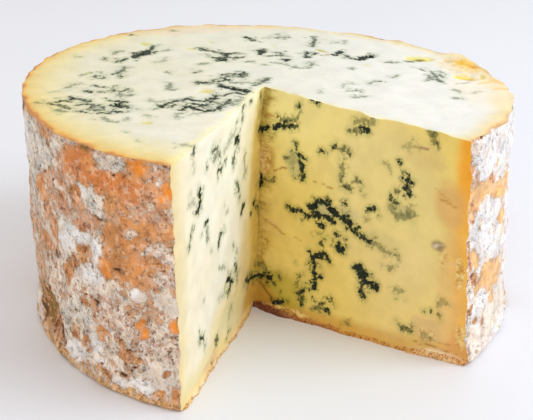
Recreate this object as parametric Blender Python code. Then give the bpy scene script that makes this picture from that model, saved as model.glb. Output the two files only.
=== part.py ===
"""A low drum of blue-veined cheese, cut flat across the top, with one wedge missing.

The drum's axis is Z and its base lies on z = 0. The gap that the wedge left opens towards -Y.
Each outer face is a grid of vertices that shares its edges with its neighbours, so the drum is
one closed solid. Every face then moves in and out along its own normal: the lumps of the rind,
the crumbly paste of the cuts, the chips, the torn crust and the curled flake on the rim.
"""

import math

import bmesh
import bpy
from mathutils import Vector, noise

# The drum, in metres
RADIUS = 0.100
HEIGHT = 0.0954  # on the axis, up to the cut across the top
TOP_SLOPE = Vector((-0.0286, -0.0199))  # rise of the top cut along X and along Y
OVALS = ((2, 0.0163, 55.7), (3, 0.0179, 7.1))  # lobes round the rind: count, share, phase in degrees
BASE_SPREAD = 0.016  # how much wider the settled base is than the top
BASE_SHIFT = Vector((0.0014, -0.0011))  # lean of the drum, its base against its top
BASE_ROUNDING = 0.0025
FOOT_FLARE = 0.0022  # the foot has spread under the drum's weight
FOOT_HEIGHT = 0.012

# The gap left by the wedge, between two upright cuts that meet near the drum's axis
RIGHT_CUT = -56.0  # degrees round the drum from +X, where the right cut leaves the rind
LEFT_CUT = 236.0
TIP = Vector((0.0002, -0.0027))  # where the two cuts meet, at the top
TIP_CREEP = (  # height, and how far the tip stands out of the corner there along the left cut
    (0.000, 0.0165),
    (0.008, 0.0170),
    (0.015, 0.0145),
    (0.027, 0.0095),
    (0.062, 0.0070),
    (0.079, 0.0060),
    (0.095, 0.0000),
)

# Relief, in metres: depth, and the size of its lumps
RIND_LUMPS = ((0.0010, 0.024), (0.0007, 0.010), (0.0005, 0.0055))
CUT_LUMPS = ((0.0004, 0.012), (0.0003, 0.0060))
TOP_LUMPS = ((0.0003, 0.016), (0.0002, 0.0070))
RIGHT_CRUST_LIP = 0.0036  # the torn crust along the foot of each cut
LEFT_CRUST_LIP = 0.0018
CRUST_LIP_START = 0.012  # distance from the tip over which the lip grows to its full width
CRUST_LIP_HEIGHT = 0.0040
CRUST_LIP_SHARE = 0.6  # of it that is there where the crust is neither torn back nor left on
CRUST_LIP_TEARS = 0.007  # length of one tear along the lip
CRUMBLED_TIP = 0.0011  # the broken paste beside the tip
CRUMBLED_TIP_REACH = 0.010
CRUMB = 0.006

# Single features on the rind: direction in degrees, height, half width in degrees, half height, depth
RIND_CHIPS = (
    (193.0, 0.016, 6.5, 0.012, -0.0020),  # a scale that has come away near the foot
    (200.5, 0.018, 1.6, 0.012, 0.0010),  # the raised edge beside it
    (216.0, 0.024, 2.2, 0.0040, -0.0010),  # a round pit
    (213.0, 0.054, 3.0, 0.0060, -0.0008),
    (226.0, 0.066, 3.5, 0.0090, -0.0007),
    (-52.0, 0.016, 2.5, 0.0050, -0.0009),
    (-40.0, 0.055, 4.0, 0.0090, 0.0010),
    (60.0, 0.030, 5.0, 0.0090, -0.0014),
    (118.0, 0.070, 4.0, 0.0100, 0.0011),
    (155.0, 0.040, 5.0, 0.0080, -0.0013),
)
# On the cuts: distance from the tip at that height, height, half width, half height, depth
RIGHT_CUT_CHIPS = (
    (0.056, 0.095, 0.009, 0.007, 0.0015),  # the step in the top edge
    (0.089, 0.043, 0.004, 0.006, 0.0010),  # crumbs torn up beside the rind
    (0.003, 0.066, 0.006, 0.009, -0.0016),  # the hollow in the broken corner
    (0.040, 0.049, 0.012, 0.006, -0.0008),
)
LEFT_CUT_CHIPS = (
    (0.038, 0.027, 0.006, 0.005, -0.0008),
    (0.076, 0.076, 0.008, 0.006, -0.0006),
)
FLAKE_AT = 10.0  # degrees: the rind's edge has curled up here
FLAKE_HALF_WIDTH = 8.5
FLAKE_RISE = 0.0023
FLAKE_REACH = 0.010  # how far in from the rim it lifts the top

MESH_SIZE = 0.0047
BASE_CLOSENESS = 0.25  # of the vertices that the top has, because the base is flat
ROUNDING_ROW = 0.3  # how far up the base's rounded edge its middle row of vertices lies
PASTE, RIND = 0, 1  # the material slots
PASTE_COLOUR = (0.83, 0.76, 0.50, 1)
RIND_COLOUR = (0.62, 0.36, 0.19, 1)


def clear_scene():
    for thing in list(bpy.data.objects):
        bpy.data.objects.remove(thing, do_unlink=True)


def food_material(name, colour, roughness):
    material = bpy.data.materials.new(name)
    material.use_nodes = True
    material.diffuse_color = colour
    shader = material.node_tree.nodes["Principled BSDF"]
    shader.inputs["Base Color"].default_value = colour
    shader.inputs["Roughness"].default_value = roughness
    shader.inputs["Metallic"].default_value = 0.0
    return material


def between(table, height):
    """The table's value at a height, on straight lines between its rows."""
    for (low, first), (high, second) in zip(table, table[1:]):
        if height <= high:
            return first + (second - first) * (height - low) / (high - low)
    return table[-1][1]


def top_height(place):
    return HEIGHT + TOP_SLOPE.dot(place)


def rind_place(angle, height):
    """The rind's place in plan, before its relief."""
    radius = RADIUS
    for lobes, share, phase in OVALS:
        radius += RADIUS * share * math.cos(math.radians(lobes * (angle + phase)))
    settled = max(1 - height / HEIGHT, 0)
    radius *= 1 + BASE_SPREAD * settled
    radius += FOOT_FLARE * max(1 - height / FOOT_HEIGHT, 0) ** 2
    below = max(BASE_ROUNDING - height, 0)
    radius -= BASE_ROUNDING - math.sqrt(BASE_ROUNDING**2 - below**2)
    turn = math.radians(angle)
    return Vector((math.cos(turn), math.sin(turn))) * radius + BASE_SHIFT * settled


def tip_place(height):
    """The tip's place in plan, which creeps out of the corner towards the base."""
    left_way = (rind_place(LEFT_CUT, HEIGHT) - TIP).normalized()
    return TIP + left_way * between(TIP_CREEP, height)


def cut_place(angle, share, height):
    return tip_place(height).lerp(rind_place(angle, height), share)


def lumps(point, layers):
    total = 0.0
    for depth, size in layers:
        total += depth * noise.noise(point / size)
    return total


def dome(distance):
    """1 at a feature's middle, 0 from its edge outwards, smooth between."""
    return (1 - min(abs(distance), 1) ** 2) ** 2


def features(across, height, table):
    total = 0.0
    for middle, level, half_width, half_height, depth in table:
        away = math.hypot((across - middle) / half_width, (height - level) / half_height)
        total += depth * dome(away)
    return total


def rind_relief(point, angle):
    height = point.z
    settle = min(height / BASE_ROUNDING, 1)
    return settle * lumps(point, RIND_LUMPS) + features(angle, height, RIND_CHIPS)


def cut_relief(point, crust_lip, chips):
    """How far a point of a cut stands proud of it."""
    along = (point.to_2d() - tip_place(point.z)).length
    rough = lumps(point, CUT_LUMPS)
    lip = crust_lip * max(1 - point.z / CRUST_LIP_HEIGHT, 0) * min(along / CRUST_LIP_START, 1)
    lip *= CRUST_LIP_SHARE + noise.noise(point / CRUST_LIP_TEARS)
    broken = dome(along / CRUMBLED_TIP_REACH) * CRUMBLED_TIP * noise.noise(point / CRUMB)
    return rough + lip + broken + features(along, point.z, chips)


def flake(angle, inwards):
    """The rise of the curled flake at a distance inwards from the rim."""
    return FLAKE_RISE * dome((angle - FLAKE_AT) / FLAKE_HALF_WIDTH) * dome(inwards / FLAKE_REACH)


class Drum:
    """The drum's mesh. A vertex keeps its first place, and collects the relief of each face it is on."""

    def __init__(self):
        self.mesh = bmesh.new()
        self.moves = {}
        arc = math.radians(LEFT_CUT - RIGHT_CUT) * RADIUS
        self.around = round(arc / MESH_SIZE)
        self.along = round(RADIUS / MESH_SIZE)
        self.heights = self.share_heights()

    def share_heights(self):
        """The rows up the sides as shares of the height, closer round the base's rounded edge."""
        low = BASE_ROUNDING / HEIGHT
        rows = round((HEIGHT - BASE_ROUNDING) / MESH_SIZE)
        return [0.0, low * ROUNDING_ROW] + [low + (1 - low) * row / rows for row in range(rows + 1)]

    def vertex(self, place, height):
        made = self.mesh.verts.new((place.x, place.y, height))
        self.moves[made] = []
        return made

    def column(self, where):
        """One column of vertices from the base to the top. where gives the place in plan at a height."""
        full = top_height(where(HEIGHT))
        return [self.vertex(where(full * share), full * share) for share in self.heights]

    def cut(self, angle, tip_column):
        """The columns of one cut, from the tip out to the rind."""
        columns = [tip_column]
        for step in range(1, self.along + 1):
            share = step / self.along
            columns.append(self.column(lambda height, share=share: cut_place(angle, share, height)))
        return columns

    def rind(self, first, last):
        """The columns round the rind, between the outer columns of the two cuts."""
        columns = [first]
        for step in range(1, self.around):
            angle = self.angle(step)
            columns.append(self.column(lambda height, angle=angle: rind_place(angle, height)))
        return columns + [last]

    def angle(self, step):
        return RIGHT_CUT + (LEFT_CUT - RIGHT_CUT) * step / self.around

    def rings(self, right, left, rind, row, closeness):
        """Rings from the tip out to the rind, over the top (row -1) or under the base (row 0)."""
        rings = [[right[0][row]]]
        for step in range(1, self.along):
            share = step / self.along
            count = max(round(self.around * share * closeness), 4)
            ring = [right[step][row]]
            for part in range(1, count):
                angle = RIGHT_CUT + (LEFT_CUT - RIGHT_CUT) * part / count
                place = cut_place(angle, share, HEIGHT if row else 0.0)
                ring.append(self.vertex(place, top_height(place) if row else 0.0))
            rings.append(ring + [left[step][row]])
        return rings + [[column[row] for column in rind]]

    def sheet(self, columns, material):
        for near, far in zip(columns, columns[1:]):
            for low in range(len(near) - 1):
                corners = (near[low], far[low], far[low + 1], near[low + 1])
                self.mesh.faces.new(corners).material_index = material

    def disc(self, rings, material):
        for inner, outer in zip(rings, rings[1:]):
            self.stitch(inner, outer, material)

    def stitch(self, inner, outer, material):
        """Triangles between two rings with different numbers of vertices."""
        i = j = 0
        while i < len(inner) - 1 or j < len(outer) - 1:
            next_inner = (i + 1) / max(len(inner) - 1, 1)
            next_outer = (j + 1) / (len(outer) - 1)
            if j == len(outer) - 1 or (i < len(inner) - 1 and next_inner < next_outer):
                corners = (inner[i], outer[j], inner[i + 1])
                i += 1
            else:
                corners = (inner[i], outer[j], outer[j + 1])
                j += 1
            self.mesh.faces.new(corners).material_index = material

    def shape_rind(self, columns):
        for step, column in enumerate(columns):
            angle = self.angle(step)
            turn = math.radians(angle)
            outwards = Vector((math.cos(turn), math.sin(turn), 0))
            for made in column:
                self.moves[made].append(outwards * rind_relief(made.co, angle))

    def shape_cut(self, columns, crust_lip, chips):
        tip, rind = columns[0][-1].co, columns[-1][-1].co
        way = (rind - tip).to_2d().normalized()
        outwards = Vector((way.y, -way.x, 0))
        if outwards.y > 0:
            outwards.negate()
        for step, column in enumerate(columns):
            weight = 0.5 if step == 0 else 1.0
            for made in column:
                relief = cut_relief(made.co, crust_lip, chips)
                self.moves[made].append(outwards * weight * relief)

    def shape_top(self, rings):
        for step, ring in enumerate(rings):
            inwards = RADIUS * (1 - step / self.along)
            for part, made in enumerate(ring):
                angle = RIGHT_CUT + (LEFT_CUT - RIGHT_CUT) * part / max(len(ring) - 1, 1)
                rise = lumps(made.co, TOP_LUMPS) + flake(angle, inwards)
                self.moves[made].append(Vector((0, 0, rise)))

    def build(self):
        tip_column = self.column(tip_place)
        right = self.cut(RIGHT_CUT, tip_column)
        left = self.cut(LEFT_CUT, tip_column)
        rind = self.rind(right[-1], left[-1])
        top = self.rings(right, left, rind, -1, 1.0)
        base = self.rings(right, left, rind, 0, BASE_CLOSENESS)
        self.shape_rind(rind)
        self.shape_cut(right, RIGHT_CRUST_LIP, RIGHT_CUT_CHIPS)
        self.shape_cut(left, LEFT_CRUST_LIP, LEFT_CUT_CHIPS)
        self.shape_top(top)
        self.sheet(rind, RIND)
        self.sheet(right, PASTE)
        self.sheet(left, PASTE)
        self.disc(top, PASTE)
        self.disc(base, RIND)
        for made, moves in self.moves.items():
            made.co += sum(moves, Vector((0, 0, 0)))
        bmesh.ops.triangulate(self.mesh, faces=self.mesh.faces, quad_method="SHORT_EDGE")
        bmesh.ops.recalc_face_normals(self.mesh, faces=self.mesh.faces)

    def to_object(self, name, materials):
        data = bpy.data.meshes.new(name)
        self.mesh.to_mesh(data)
        self.mesh.free()
        for material in materials:
            data.materials.append(material)
        thing = bpy.data.objects.new(name, data)
        bpy.context.collection.objects.link(thing)
        return thing


def main():
    clear_scene()
    paste = food_material("paste", PASTE_COLOUR, 0.55)
    rind = food_material("rind", RIND_COLOUR, 0.85)
    drum = Drum()
    drum.build()
    drum.to_object("cheese", (paste, rind))


main()
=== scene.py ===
import math

import bpy
import numpy as np
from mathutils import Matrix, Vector, noise


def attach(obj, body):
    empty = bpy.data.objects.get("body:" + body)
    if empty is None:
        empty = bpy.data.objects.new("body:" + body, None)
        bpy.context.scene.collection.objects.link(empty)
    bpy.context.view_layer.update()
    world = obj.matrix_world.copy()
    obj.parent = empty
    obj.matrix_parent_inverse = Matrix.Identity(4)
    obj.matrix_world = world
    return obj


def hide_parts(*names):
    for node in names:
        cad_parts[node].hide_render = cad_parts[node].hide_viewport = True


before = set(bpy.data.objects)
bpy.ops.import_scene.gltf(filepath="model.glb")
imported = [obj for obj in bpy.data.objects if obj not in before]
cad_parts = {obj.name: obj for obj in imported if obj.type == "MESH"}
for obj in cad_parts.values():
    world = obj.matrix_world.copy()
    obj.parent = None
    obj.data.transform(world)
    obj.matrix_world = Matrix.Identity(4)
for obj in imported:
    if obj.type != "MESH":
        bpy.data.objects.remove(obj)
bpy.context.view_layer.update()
print("frame loaded, nodes:", sorted(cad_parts))

# helpers


def hue(red, green, blue):
    # a screen colour from 0 to 255, turned into the linear light that Blender mixes
    shares = np.array((red, green, blue)) / 255
    return np.where(shares <= 0.04045, shares / 12.92, ((shares + 0.055) / 1.055) ** 2.4)


def smoothStep(low, high, value):
    share = np.clip((value - low) / (high - low), 0, 1)
    return share * share * (3 - 2 * share)


def dome(distance):
    # 1 at the middle, 0 from the edge outwards
    return (1 - np.minimum(np.abs(distance), 1) ** 2) ** 2


def wave(points, size, shift=0.0):
    # smooth noise from about -1 to 1, with lumps of that size in millimetres. A shift gives another
    # stretch of the same noise
    return np.array([noise.noise(place) for place in (points / size + shift).tolist()])


def lumps(points, layers):
    # layers of noise, each (depth, size) or (depth, size, shift)
    return sum(depth * wave(points, *how) for depth, *how in layers)


def overlay(tones, colour, weight):
    return tones + (np.asarray(colour) - tones) * np.asarray(weight)[..., None]


# the soft edge of what is painted: where it starts and where it is full, in shares of the half width
softEdges = {
    "spot": (1.25, 0.6),
    "crease": (1.3, 0.4),
    "crumbled": (1.3, 0.3),
    "patch": (1.3, 0.6),
}


# the drum's form, in millimetres and degrees, from the same sizes as its solid

drum = {
    "radius": 100.0,
    "height": 95.4,  # on the axis
    "topSlope": (-0.0286, -0.0199),
    "ovals": ((2, 0.0163, 55.7), (3, 0.0179, 7.1)),  # lobes, share, phase
    "baseSpread": 0.016,
    "baseShift": (1.4, -1.1),
    "baseRounding": 2.5,
    "footFlare": 2.2,
    "footHeight": 12.0,
    "rightCut": -56.0,
    "leftCut": 236.0,
    "tip": (0.2, -2.7),  # where the two cuts meet at the top
    "tipHeights": (0, 8, 15, 27, 62, 79, 95),
    "tipCreep": (16.5, 17.0, 14.5, 9.5, 7.0, 6.0, 0.0),
}

grid = {
    "alongCut": 121,  # columns from the tip to the rind
    "upSide": 114,
    "roundRind": 336,
    "topCloseness": 1.34,  # vertices round the top for each one round the rind
    "baseCloseness": 0.08,
    "roundingRow": 0.3,
}


def topHeight(place):
    return drum["height"] + place[..., 0] * drum["topSlope"][0] + place[..., 1] * drum["topSlope"][1]


def rindPlace(angle, height):
    angle, height = np.broadcast_arrays(np.asarray(angle, float), np.asarray(height, float))
    radius = np.full(angle.shape, drum["radius"])
    for lobes, share, phase in drum["ovals"]:
        radius += drum["radius"] * share * np.cos(np.radians(lobes * (angle + phase)))
    settled = np.maximum(1 - height / drum["height"], 0)
    radius *= 1 + drum["baseSpread"] * settled
    radius += drum["footFlare"] * np.maximum(1 - height / drum["footHeight"], 0) ** 2
    rounding = drum["baseRounding"]
    below = np.maximum(rounding - height, 0)
    radius -= rounding - np.sqrt(rounding**2 - below**2)
    turn = np.radians(angle)
    way = np.stack([np.cos(turn), np.sin(turn)], -1)
    return way * radius[..., None] + np.array(drum["baseShift"]) * settled[..., None]


def tipPlace(height):
    tip = np.array(drum["tip"])
    leftWay = rindPlace(drum["leftCut"], drum["height"]) - tip
    leftWay /= np.linalg.norm(leftWay)
    creep = np.interp(height, drum["tipHeights"], drum["tipCreep"])
    return tip + leftWay * np.asarray(creep)[..., None]


def cutPlace(angle, share, height):
    share = np.asarray(share, float)[..., None]
    return tipPlace(height) * (1 - share) + rindPlace(angle, height) * share


# one closed shell of vertices, numbered face by face

blocks = []
faces = []
surfaceOfFace = []
rightFace, leftFace, rindFace, topFace, baseFace = range(5)


def addPoints(places, heights):
    block = np.concatenate([places, np.asarray(heights, float)[..., None]], -1)
    first = sum(len(made) for made in blocks)
    blocks.append(block.reshape(-1, 3))
    return first + np.arange(len(blocks[-1])).reshape(block.shape[:-1])


def addColumns(whereAt):
    # a sheet of columns from the base to the top. whereAt gives its places in plan at a height
    full = topHeight(whereAt(drum["height"]))
    heights = full * upShares
    return addPoints(whereAt(heights), heights)


def addSheet(ids, surface, flip=False):
    near, far = (ids[1:], ids[:-1]) if flip else (ids[:-1], ids[1:])
    quads = np.stack([near[:, :-1], far[:, :-1], far[:, 1:], near[:, 1:]], -1).reshape(-1, 4)
    faces.extend(quads.tolist())
    surfaceOfFace.extend([surface] * len(quads))


def addDisc(rings, surface, flip=False):
    for inner, outer in zip(rings, rings[1:]):
        i = j = 0
        while i < len(inner) - 1 or j < len(outer) - 1:
            nextInner = (i + 1) / max(len(inner) - 1, 1)
            nextOuter = (j + 1) / (len(outer) - 1)
            if j == len(outer) - 1 or (i < len(inner) - 1 and nextInner < nextOuter):
                corners = [inner[i], outer[j], inner[i + 1]]
                i += 1
            else:
                corners = [inner[i], outer[j], outer[j + 1]]
                j += 1
            faces.append(corners[::-1] if flip else corners)
            surfaceOfFace.append(surface)


low = drum["baseRounding"] / drum["height"]
upShares = np.concatenate([[0, low * grid["roundingRow"]], np.linspace(low, 1, grid["upSide"] + 1)])
outShares = np.linspace(0, 1, grid["alongCut"] + 1)
angles = np.linspace(drum["rightCut"], drum["leftCut"], grid["roundRind"] + 1)

rindIds = addColumns(lambda height: rindPlace(angles[:, None], height))
rightInner = addColumns(lambda height: cutPlace(drum["rightCut"], outShares[:-1, None], height))
leftInner = addColumns(lambda height: cutPlace(drum["leftCut"], outShares[1:-1, None], height))
rightIds = np.concatenate([rightInner, rindIds[:1]])
leftIds = np.concatenate([rightInner[:1], leftInner, rindIds[-1:]])


def addRings(row, closeness):
    # rings of vertices from the tip out to the rind, over the top (row -1) or under the base (row 0)
    rings = [[rightIds[0, row]]]
    ringAngles = [[drum["rightCut"]]]
    for share, right, left in zip(outShares[1:-1], rightIds[1:-1, row], leftIds[1:-1, row]):
        count = max(round(grid["roundRind"] * share * closeness), 4)
        between = np.linspace(drum["rightCut"], drum["leftCut"], count + 1)
        places = cutPlace(between[1:-1], np.full(count - 1, share), drum["height"] if row else 0.0)
        made = addPoints(places, topHeight(places) if row else np.zeros(count - 1))
        rings.append([right, *made.tolist(), left])
        ringAngles.append(between)
    rings.append(rindIds[:, row].tolist())
    ringAngles.append(angles)
    return rings, ringAngles


topRings, topAngles = addRings(-1, grid["topCloseness"])
baseRings = addRings(0, grid["baseCloseness"])[0]
addSheet(rindIds, rindFace)
addSheet(rightIds, rightFace)
addSheet(leftIds, leftFace, flip=True)
addDisc(topRings, topFace)
addDisc(baseRings, baseFace, flip=True)
start = np.concatenate(blocks)
moves = np.zeros_like(start)
print("shell:", len(start), "vertices,", len(faces), "faces")

# flat lists of each face's vertices, with the two measures that its marks are placed by
topIds = np.concatenate([np.asarray(ring) for ring in topRings])
topAngle = np.concatenate(topAngles)
topShare = np.repeat(outShares, [len(ring) for ring in topRings])
topX, topY = start[topIds, 0], start[topIds, 1]
rindAngle = np.repeat(angles, len(upShares))
rindFlat = rindIds.ravel()
rindZ = start[rindFlat, 2]
cutOut = np.repeat(outShares * 100, len(upShares))  # from 0 at the tip to 100 at the rind
rightFlat, leftFlat = rightIds.ravel(), leftIds.ravel()
rightZ, leftZ = start[rightFlat, 2], start[leftFlat, 2]

# what the materials read: one value for each face that a vertex is on
markNames = ("vein", "veinDark", "fray", "bloom", "pit", "pitted", "crumb", "tear", "crust")
marks = {name: np.zeros((5, len(start))) for name in markNames}
tones = {name: np.zeros((5, len(start), 3)) for name in ("tone", "bloomTone")}

# veins: strokes of mould, each (half width, darkness, point, point, ...)

veins = {
    "step": 0.45,  # blobs along a stroke, in half widths
    "wander": 0.42,
    "uneven": (0.45, 1.05),  # blob sizes, in half widths
    "unevenDark": (0.75, 1.1),
    "scatter": 0.5,  # loose specks for each blob
    "speckDrift": 0.8,
    "speckSizes": (0.15, 0.55),
    "speckDark": (0.5, 0.9),
    "reach": 3.0,  # how far round a stroke its distance is kept, in millimetres
    "warpAcross": ((0.9, 5.0, 11.3), (0.6, 2.2, 11.3)),
    "warpUp": ((0.9, 5.0, 37.9), (0.6, 2.2, 37.9)),
    "fray": ((0.3, 1.3), (0.25, 1.0)),  # how frayed a thin blob and a wide blob are
    "widths": {topFace: 0.72, rightFace: 0.92, leftFace: 0.64},
}

topVeins = (
    (1.6, 0.95, (-45, 51), (-42, 54), (-39, 57), (-36, 61)),
    (1.1, 0.9, (-44, 55.5), (-41, 57.5)),
    (0.9, 0.85, (-40, 53), (-37, 55.5), (-34, 58)),
    (1.1, 0.8, (-35, 61), (-32, 68)),
    (1.3, 0.35, (-30, 58), (-27, 58.5)),
    (1.1, 0.45, (-53, 57), (-51, 60), (-48.5, 61.5)),
    (0.8, 0.6, (-57.5, 52), (-57, 49)),
    (1.1, 0.3, (-69, 57), (-67, 55)),
    (1.0, 0.55, (-39, 91), (-39, 87.5)),
    (1.0, 0.6, (-34, 100), (-33, 98)),
    (1.5, 0.4, (-19, 93), (-17, 92)),
    (1.5, 0.8, (-13, 60), (-11.5, 57)),
    (1.2, 0.7, (-11.5, 57), (-8, 53), (-4, 50), (0, 48.5)),
    (0.7, 0.5, (0, 48.5), (5, 46)),
    (1.5, 0.85, (-2.5, 49), (-4, 44), (-6, 41)),
    (2.3, 1.0, (-10, 38.5), (-7, 40), (-6, 37.5)),
    (1.0, 0.35, (-12, 49), (-11.4, 45)),
    (1.1, 0.45, (-19, 33.5), (-15, 34)),
    (1.2, 0.5, (2.5, 33.5), (5, 33.5)),
    (0.5, 0.3, (-37, 43), (-35, 40), (-33, 43), (-31, 47)),
    (1.6, 0.9, (12, 44), (13, 47), (14.5, 51)),
    (1.0, 0.7, (20.5, 46), (21.5, 42)),
    (1.5, 0.85, (20.5, 34), (20, 31)),
    (1.7, 0.8, (13, 74), (14.5, 70.5), (15.5, 67.5)),
    (1.0, 0.35, (20.5, 70), (22.5, 70.5)),
    (1.2, 0.65, (27, 70), (29.5, 71.5), (33, 70)),
    (0.7, 0.4, (28, 76), (30, 77)),
    (0.9, 0.65, (45, 68), (43, 62), (40, 55), (38.5, 50)),
    (1.2, 0.8, (30.5, 34), (32, 40), (33, 43)),
    (1.3, 0.85, (35, 37), (36.5, 41)),
    (1.6, 0.85, (44, 35), (46, 38), (49, 41)),
    (1.1, 0.75, (49.5, 36), (49, 30)),
    (2.7, 1.0, (52, 27), (56, 29.5), (60, 32)),
    (1.1, 0.35, (49, 55), (52, 57)),
    (1.2, 0.3, (54, 53), (57, 59)),
    (0.8, 0.5, (14, 29), (17, 28)),
    (0.8, 0.4, (9, 29), (9, 27)),
    (0.8, 0.4, (17, 26), (18, 24)),
    (0.7, 0.5, (20, 22), (22, 19), (26, 19), (29, 23), (30, 28)),
    (0.7, 0.45, (43, 11), (45, 15)),
    (0.9, 0.5, (62, 20), (68, 19)),
    (1.1, 0.7, (72, 20), (75, 18)),
    (0.9, 0.6, (57, -3), (60, 1)),
    (0.9, 0.5, (44, -8), (50, -5.5)),
    (0.7, 0.35, (31, -12), (33, -7), (38, -7)),
    (0.6, 0.6, (33, -17), (38, -17)),
    (0.6, 0.6, (31, -24), (37, -24.5)),
    (0.6, 0.45, (19.5, -16), (20.5, -14)),
    (0.7, 0.6, (74, 7), (74.5, 4)),
    (0.7, 0.6, (77, 3), (76.5, -3)),
    (0.9, 0.65, (76, -4), (75, -9), (74, -13)),
    (0.5, 0.6, (79, -2), (78, -7)),
    (0.5, 0.6, (73.5, -2), (72.5, -9)),
    (0.7, 0.5, (72, -7), (70, -10)),
    (0.7, 0.5, (80, 2), (82, -1)),
    (0.9, 0.5, (75, -25), (76.5, -27)),
    (1.0, 0.55, (71, -34), (73, -36)),
    (0.9, 0.25, (82, -30), (85, -29)),
    (0.6, 0.6, (-66, 27), (-66, 23), (-62, 22.5)),
    (0.9, 0.45, (-64, 32), (-62, 31)),
    (0.8, 0.4, (-72, 28), (-70, 30)),
    (1.2, 0.6, (-58, 27), (-55, 29), (-53, 33), (-51, 37)),
    (1.1, 0.65, (-56, 25), (-55, 23)),
    (0.9, 0.45, (-36, 24), (-34, 25)),
    (0.8, 0.6, (-24, 22), (-21, 24)),
    (0.8, 0.45, (-80, 12), (-77, 15), (-74, 17)),
    (0.7, 0.25, (-86, 8), (-82, 9)),
    (1.0, 0.65, (-68, 14), (-66, 11), (-64, 9)),
    (0.7, 0.5, (-61, 10), (-59, 11)),
    (1.4, 0.7, (-73, 6), (-71, 5)),
    (1.2, 0.6, (-68, 4), (-65, 3)),
    (0.8, 0.4, (-62, 7), (-61, 2)),
    (1.0, 0.5, (-38, 10), (-37.5, 6), (-39, 2), (-37, 0)),
    (0.8, 0.5, (-59, 1), (-60, -5)),
    (0.8, 0.5, (-57, -3), (-55, -3)),
    (0.9, 0.65, (-28, 8), (-25, 9.5)),
    (1.0, 0.65, (-19, 10.5), (-14, 12.5), (-9, 13.5), (-6, 11.5), (-4, 13.5), (-3, 18)),
    (0.8, 0.5, (-5.5, 19), (-4, 19.5)),
    (0.9, 0.45, (-24, 6), (-20, 5.5), (-17, 4)),
    (0.8, 0.45, (-12, 5), (-8, 4), (-3, 2)),
    (1.9, 1.0, (-17, 2), (-15, -2), (-12, -5), (-8.5, -8.5)),
    (1.2, 0.7, (-4, -1), (-1, 1), (1, 4), (5, 9)),
    (0.7, 0.5, (-94, -3), (-92, -6)),
    (1.3, 0.6, (-89, -7), (-87, -9), (-84, -12), (-82, -15)),
    (1.1, 0.75, (-81, -4), (-78, -2), (-76, -5), (-73, -8)),
    (0.9, 0.6, (-77, -8), (-75, -8.5)),
    (1.6, 0.4, (-87, -16), (-84, -18)),
    (1.0, 0.6, (-80, -19), (-76, -21)),
    (0.9, 0.6, (-74, -16), (-71, -13), (-68, -15), (-70, -19), (-75, -18)),
    (2.0, 1.0, (-64, -13), (-63, -16.5)),
    (0.9, 0.65, (-60, -16), (-60, -20)),
    (0.8, 0.5, (-67, -22), (-68, -25)),
    (1.3, 0.4, (-71, -29), (-69, -33), (-67, -35)),
    (0.9, 0.4, (-64, -33), (-62, -31)),
    (0.6, 0.4, (-58, -21.5), (-56.5, -21)),
    (0.7, 0.35, (-50, -10), (-49, -13.5), (-45, -13.5)),
    (0.6, 0.3, (-42, -12.5), (-38, -13)),
    (1.5, 0.95, (-49, -22), (-47.5, -21)),
    (1.2, 0.75, (-43, -21), (-41, -19)),
    (0.9, 0.6, (-38, -20), (-36, -19)),
    (1.2, 0.75, (-35, -13), (-32, -16), (-29, -16.5), (-26, -14), (-23, -12), (-22.5, -9.5)),
    (1.2, 0.85, (-37, -22), (-35, -26), (-32, -29), (-28, -29)),
    (0.9, 0.5, (-30, -26), (-27, -21)),
    (0.9, 0.5, (-26, -17), (-24, -21), (-23, -26)),
    (1.5, 0.45, (-20, -24), (-17, -21), (-14, -16)),
    (1.0, 0.4, (-44, -33), (-42, -29)),
    (1.0, 0.35, (-54.5, -30), (-53, -31)),
    (0.7, 0.35, (-38, -32), (-33, -31)),
    (1.1, 0.25, (-66, -46), (-65, -47)),
    (0.9, 0.25, (-63, -57), (-62, -58)),
    (1.2, 0.35, (-49, -64), (-46, -66)),
    (0.7, 0.9, (-47, -20), (-43, -16), (-38, -14), (-34, -12)),
    (0.7, 0.9, (-33, -24), (-29, -21), (-26, -18), (-23, -14)),
    (0.7, 0.85, (-30, -30), (-26, -27), (-22, -22), (-19, -17)),
    (0.6, 0.9, (-41, -26), (-37, -23), (-33, -20)),
    (0.7, 0.85, (-20, -12), (-17, -9), (-14, -8.5), (-11, -12)),
    (0.6, 0.9, (-27, 6), (-23, 8), (-18, 7.5), (-12, 9)),
    (0.6, 0.85, (-15, 16), (-10, 17), (-5, 15)),
    (0.7, 0.85, (-86, -6), (-83, -5), (-80, -7)),
    (0.6, 0.85, (-79, -12), (-75, -11), (-72, -13)),
    (0.7, 0.9, (-66, -8), (-62, -9), (-59, -12)),
    (0.7, 0.85, (-72, -22), (-69, -24), (-66, -22), (-63, -24)),
    (0.6, 0.8, (-62, 4), (-58, 3), (-55, 5)),
    (0.7, 0.8, (-12, 42), (-9, 43), (-3, 41), (2, 40)),
    (0.6, 0.85, (14, 40), (18, 41), (22, 38)),
    (0.6, 0.85, (-48, 50), (-50, 47), (-54, 46)),
)

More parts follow.
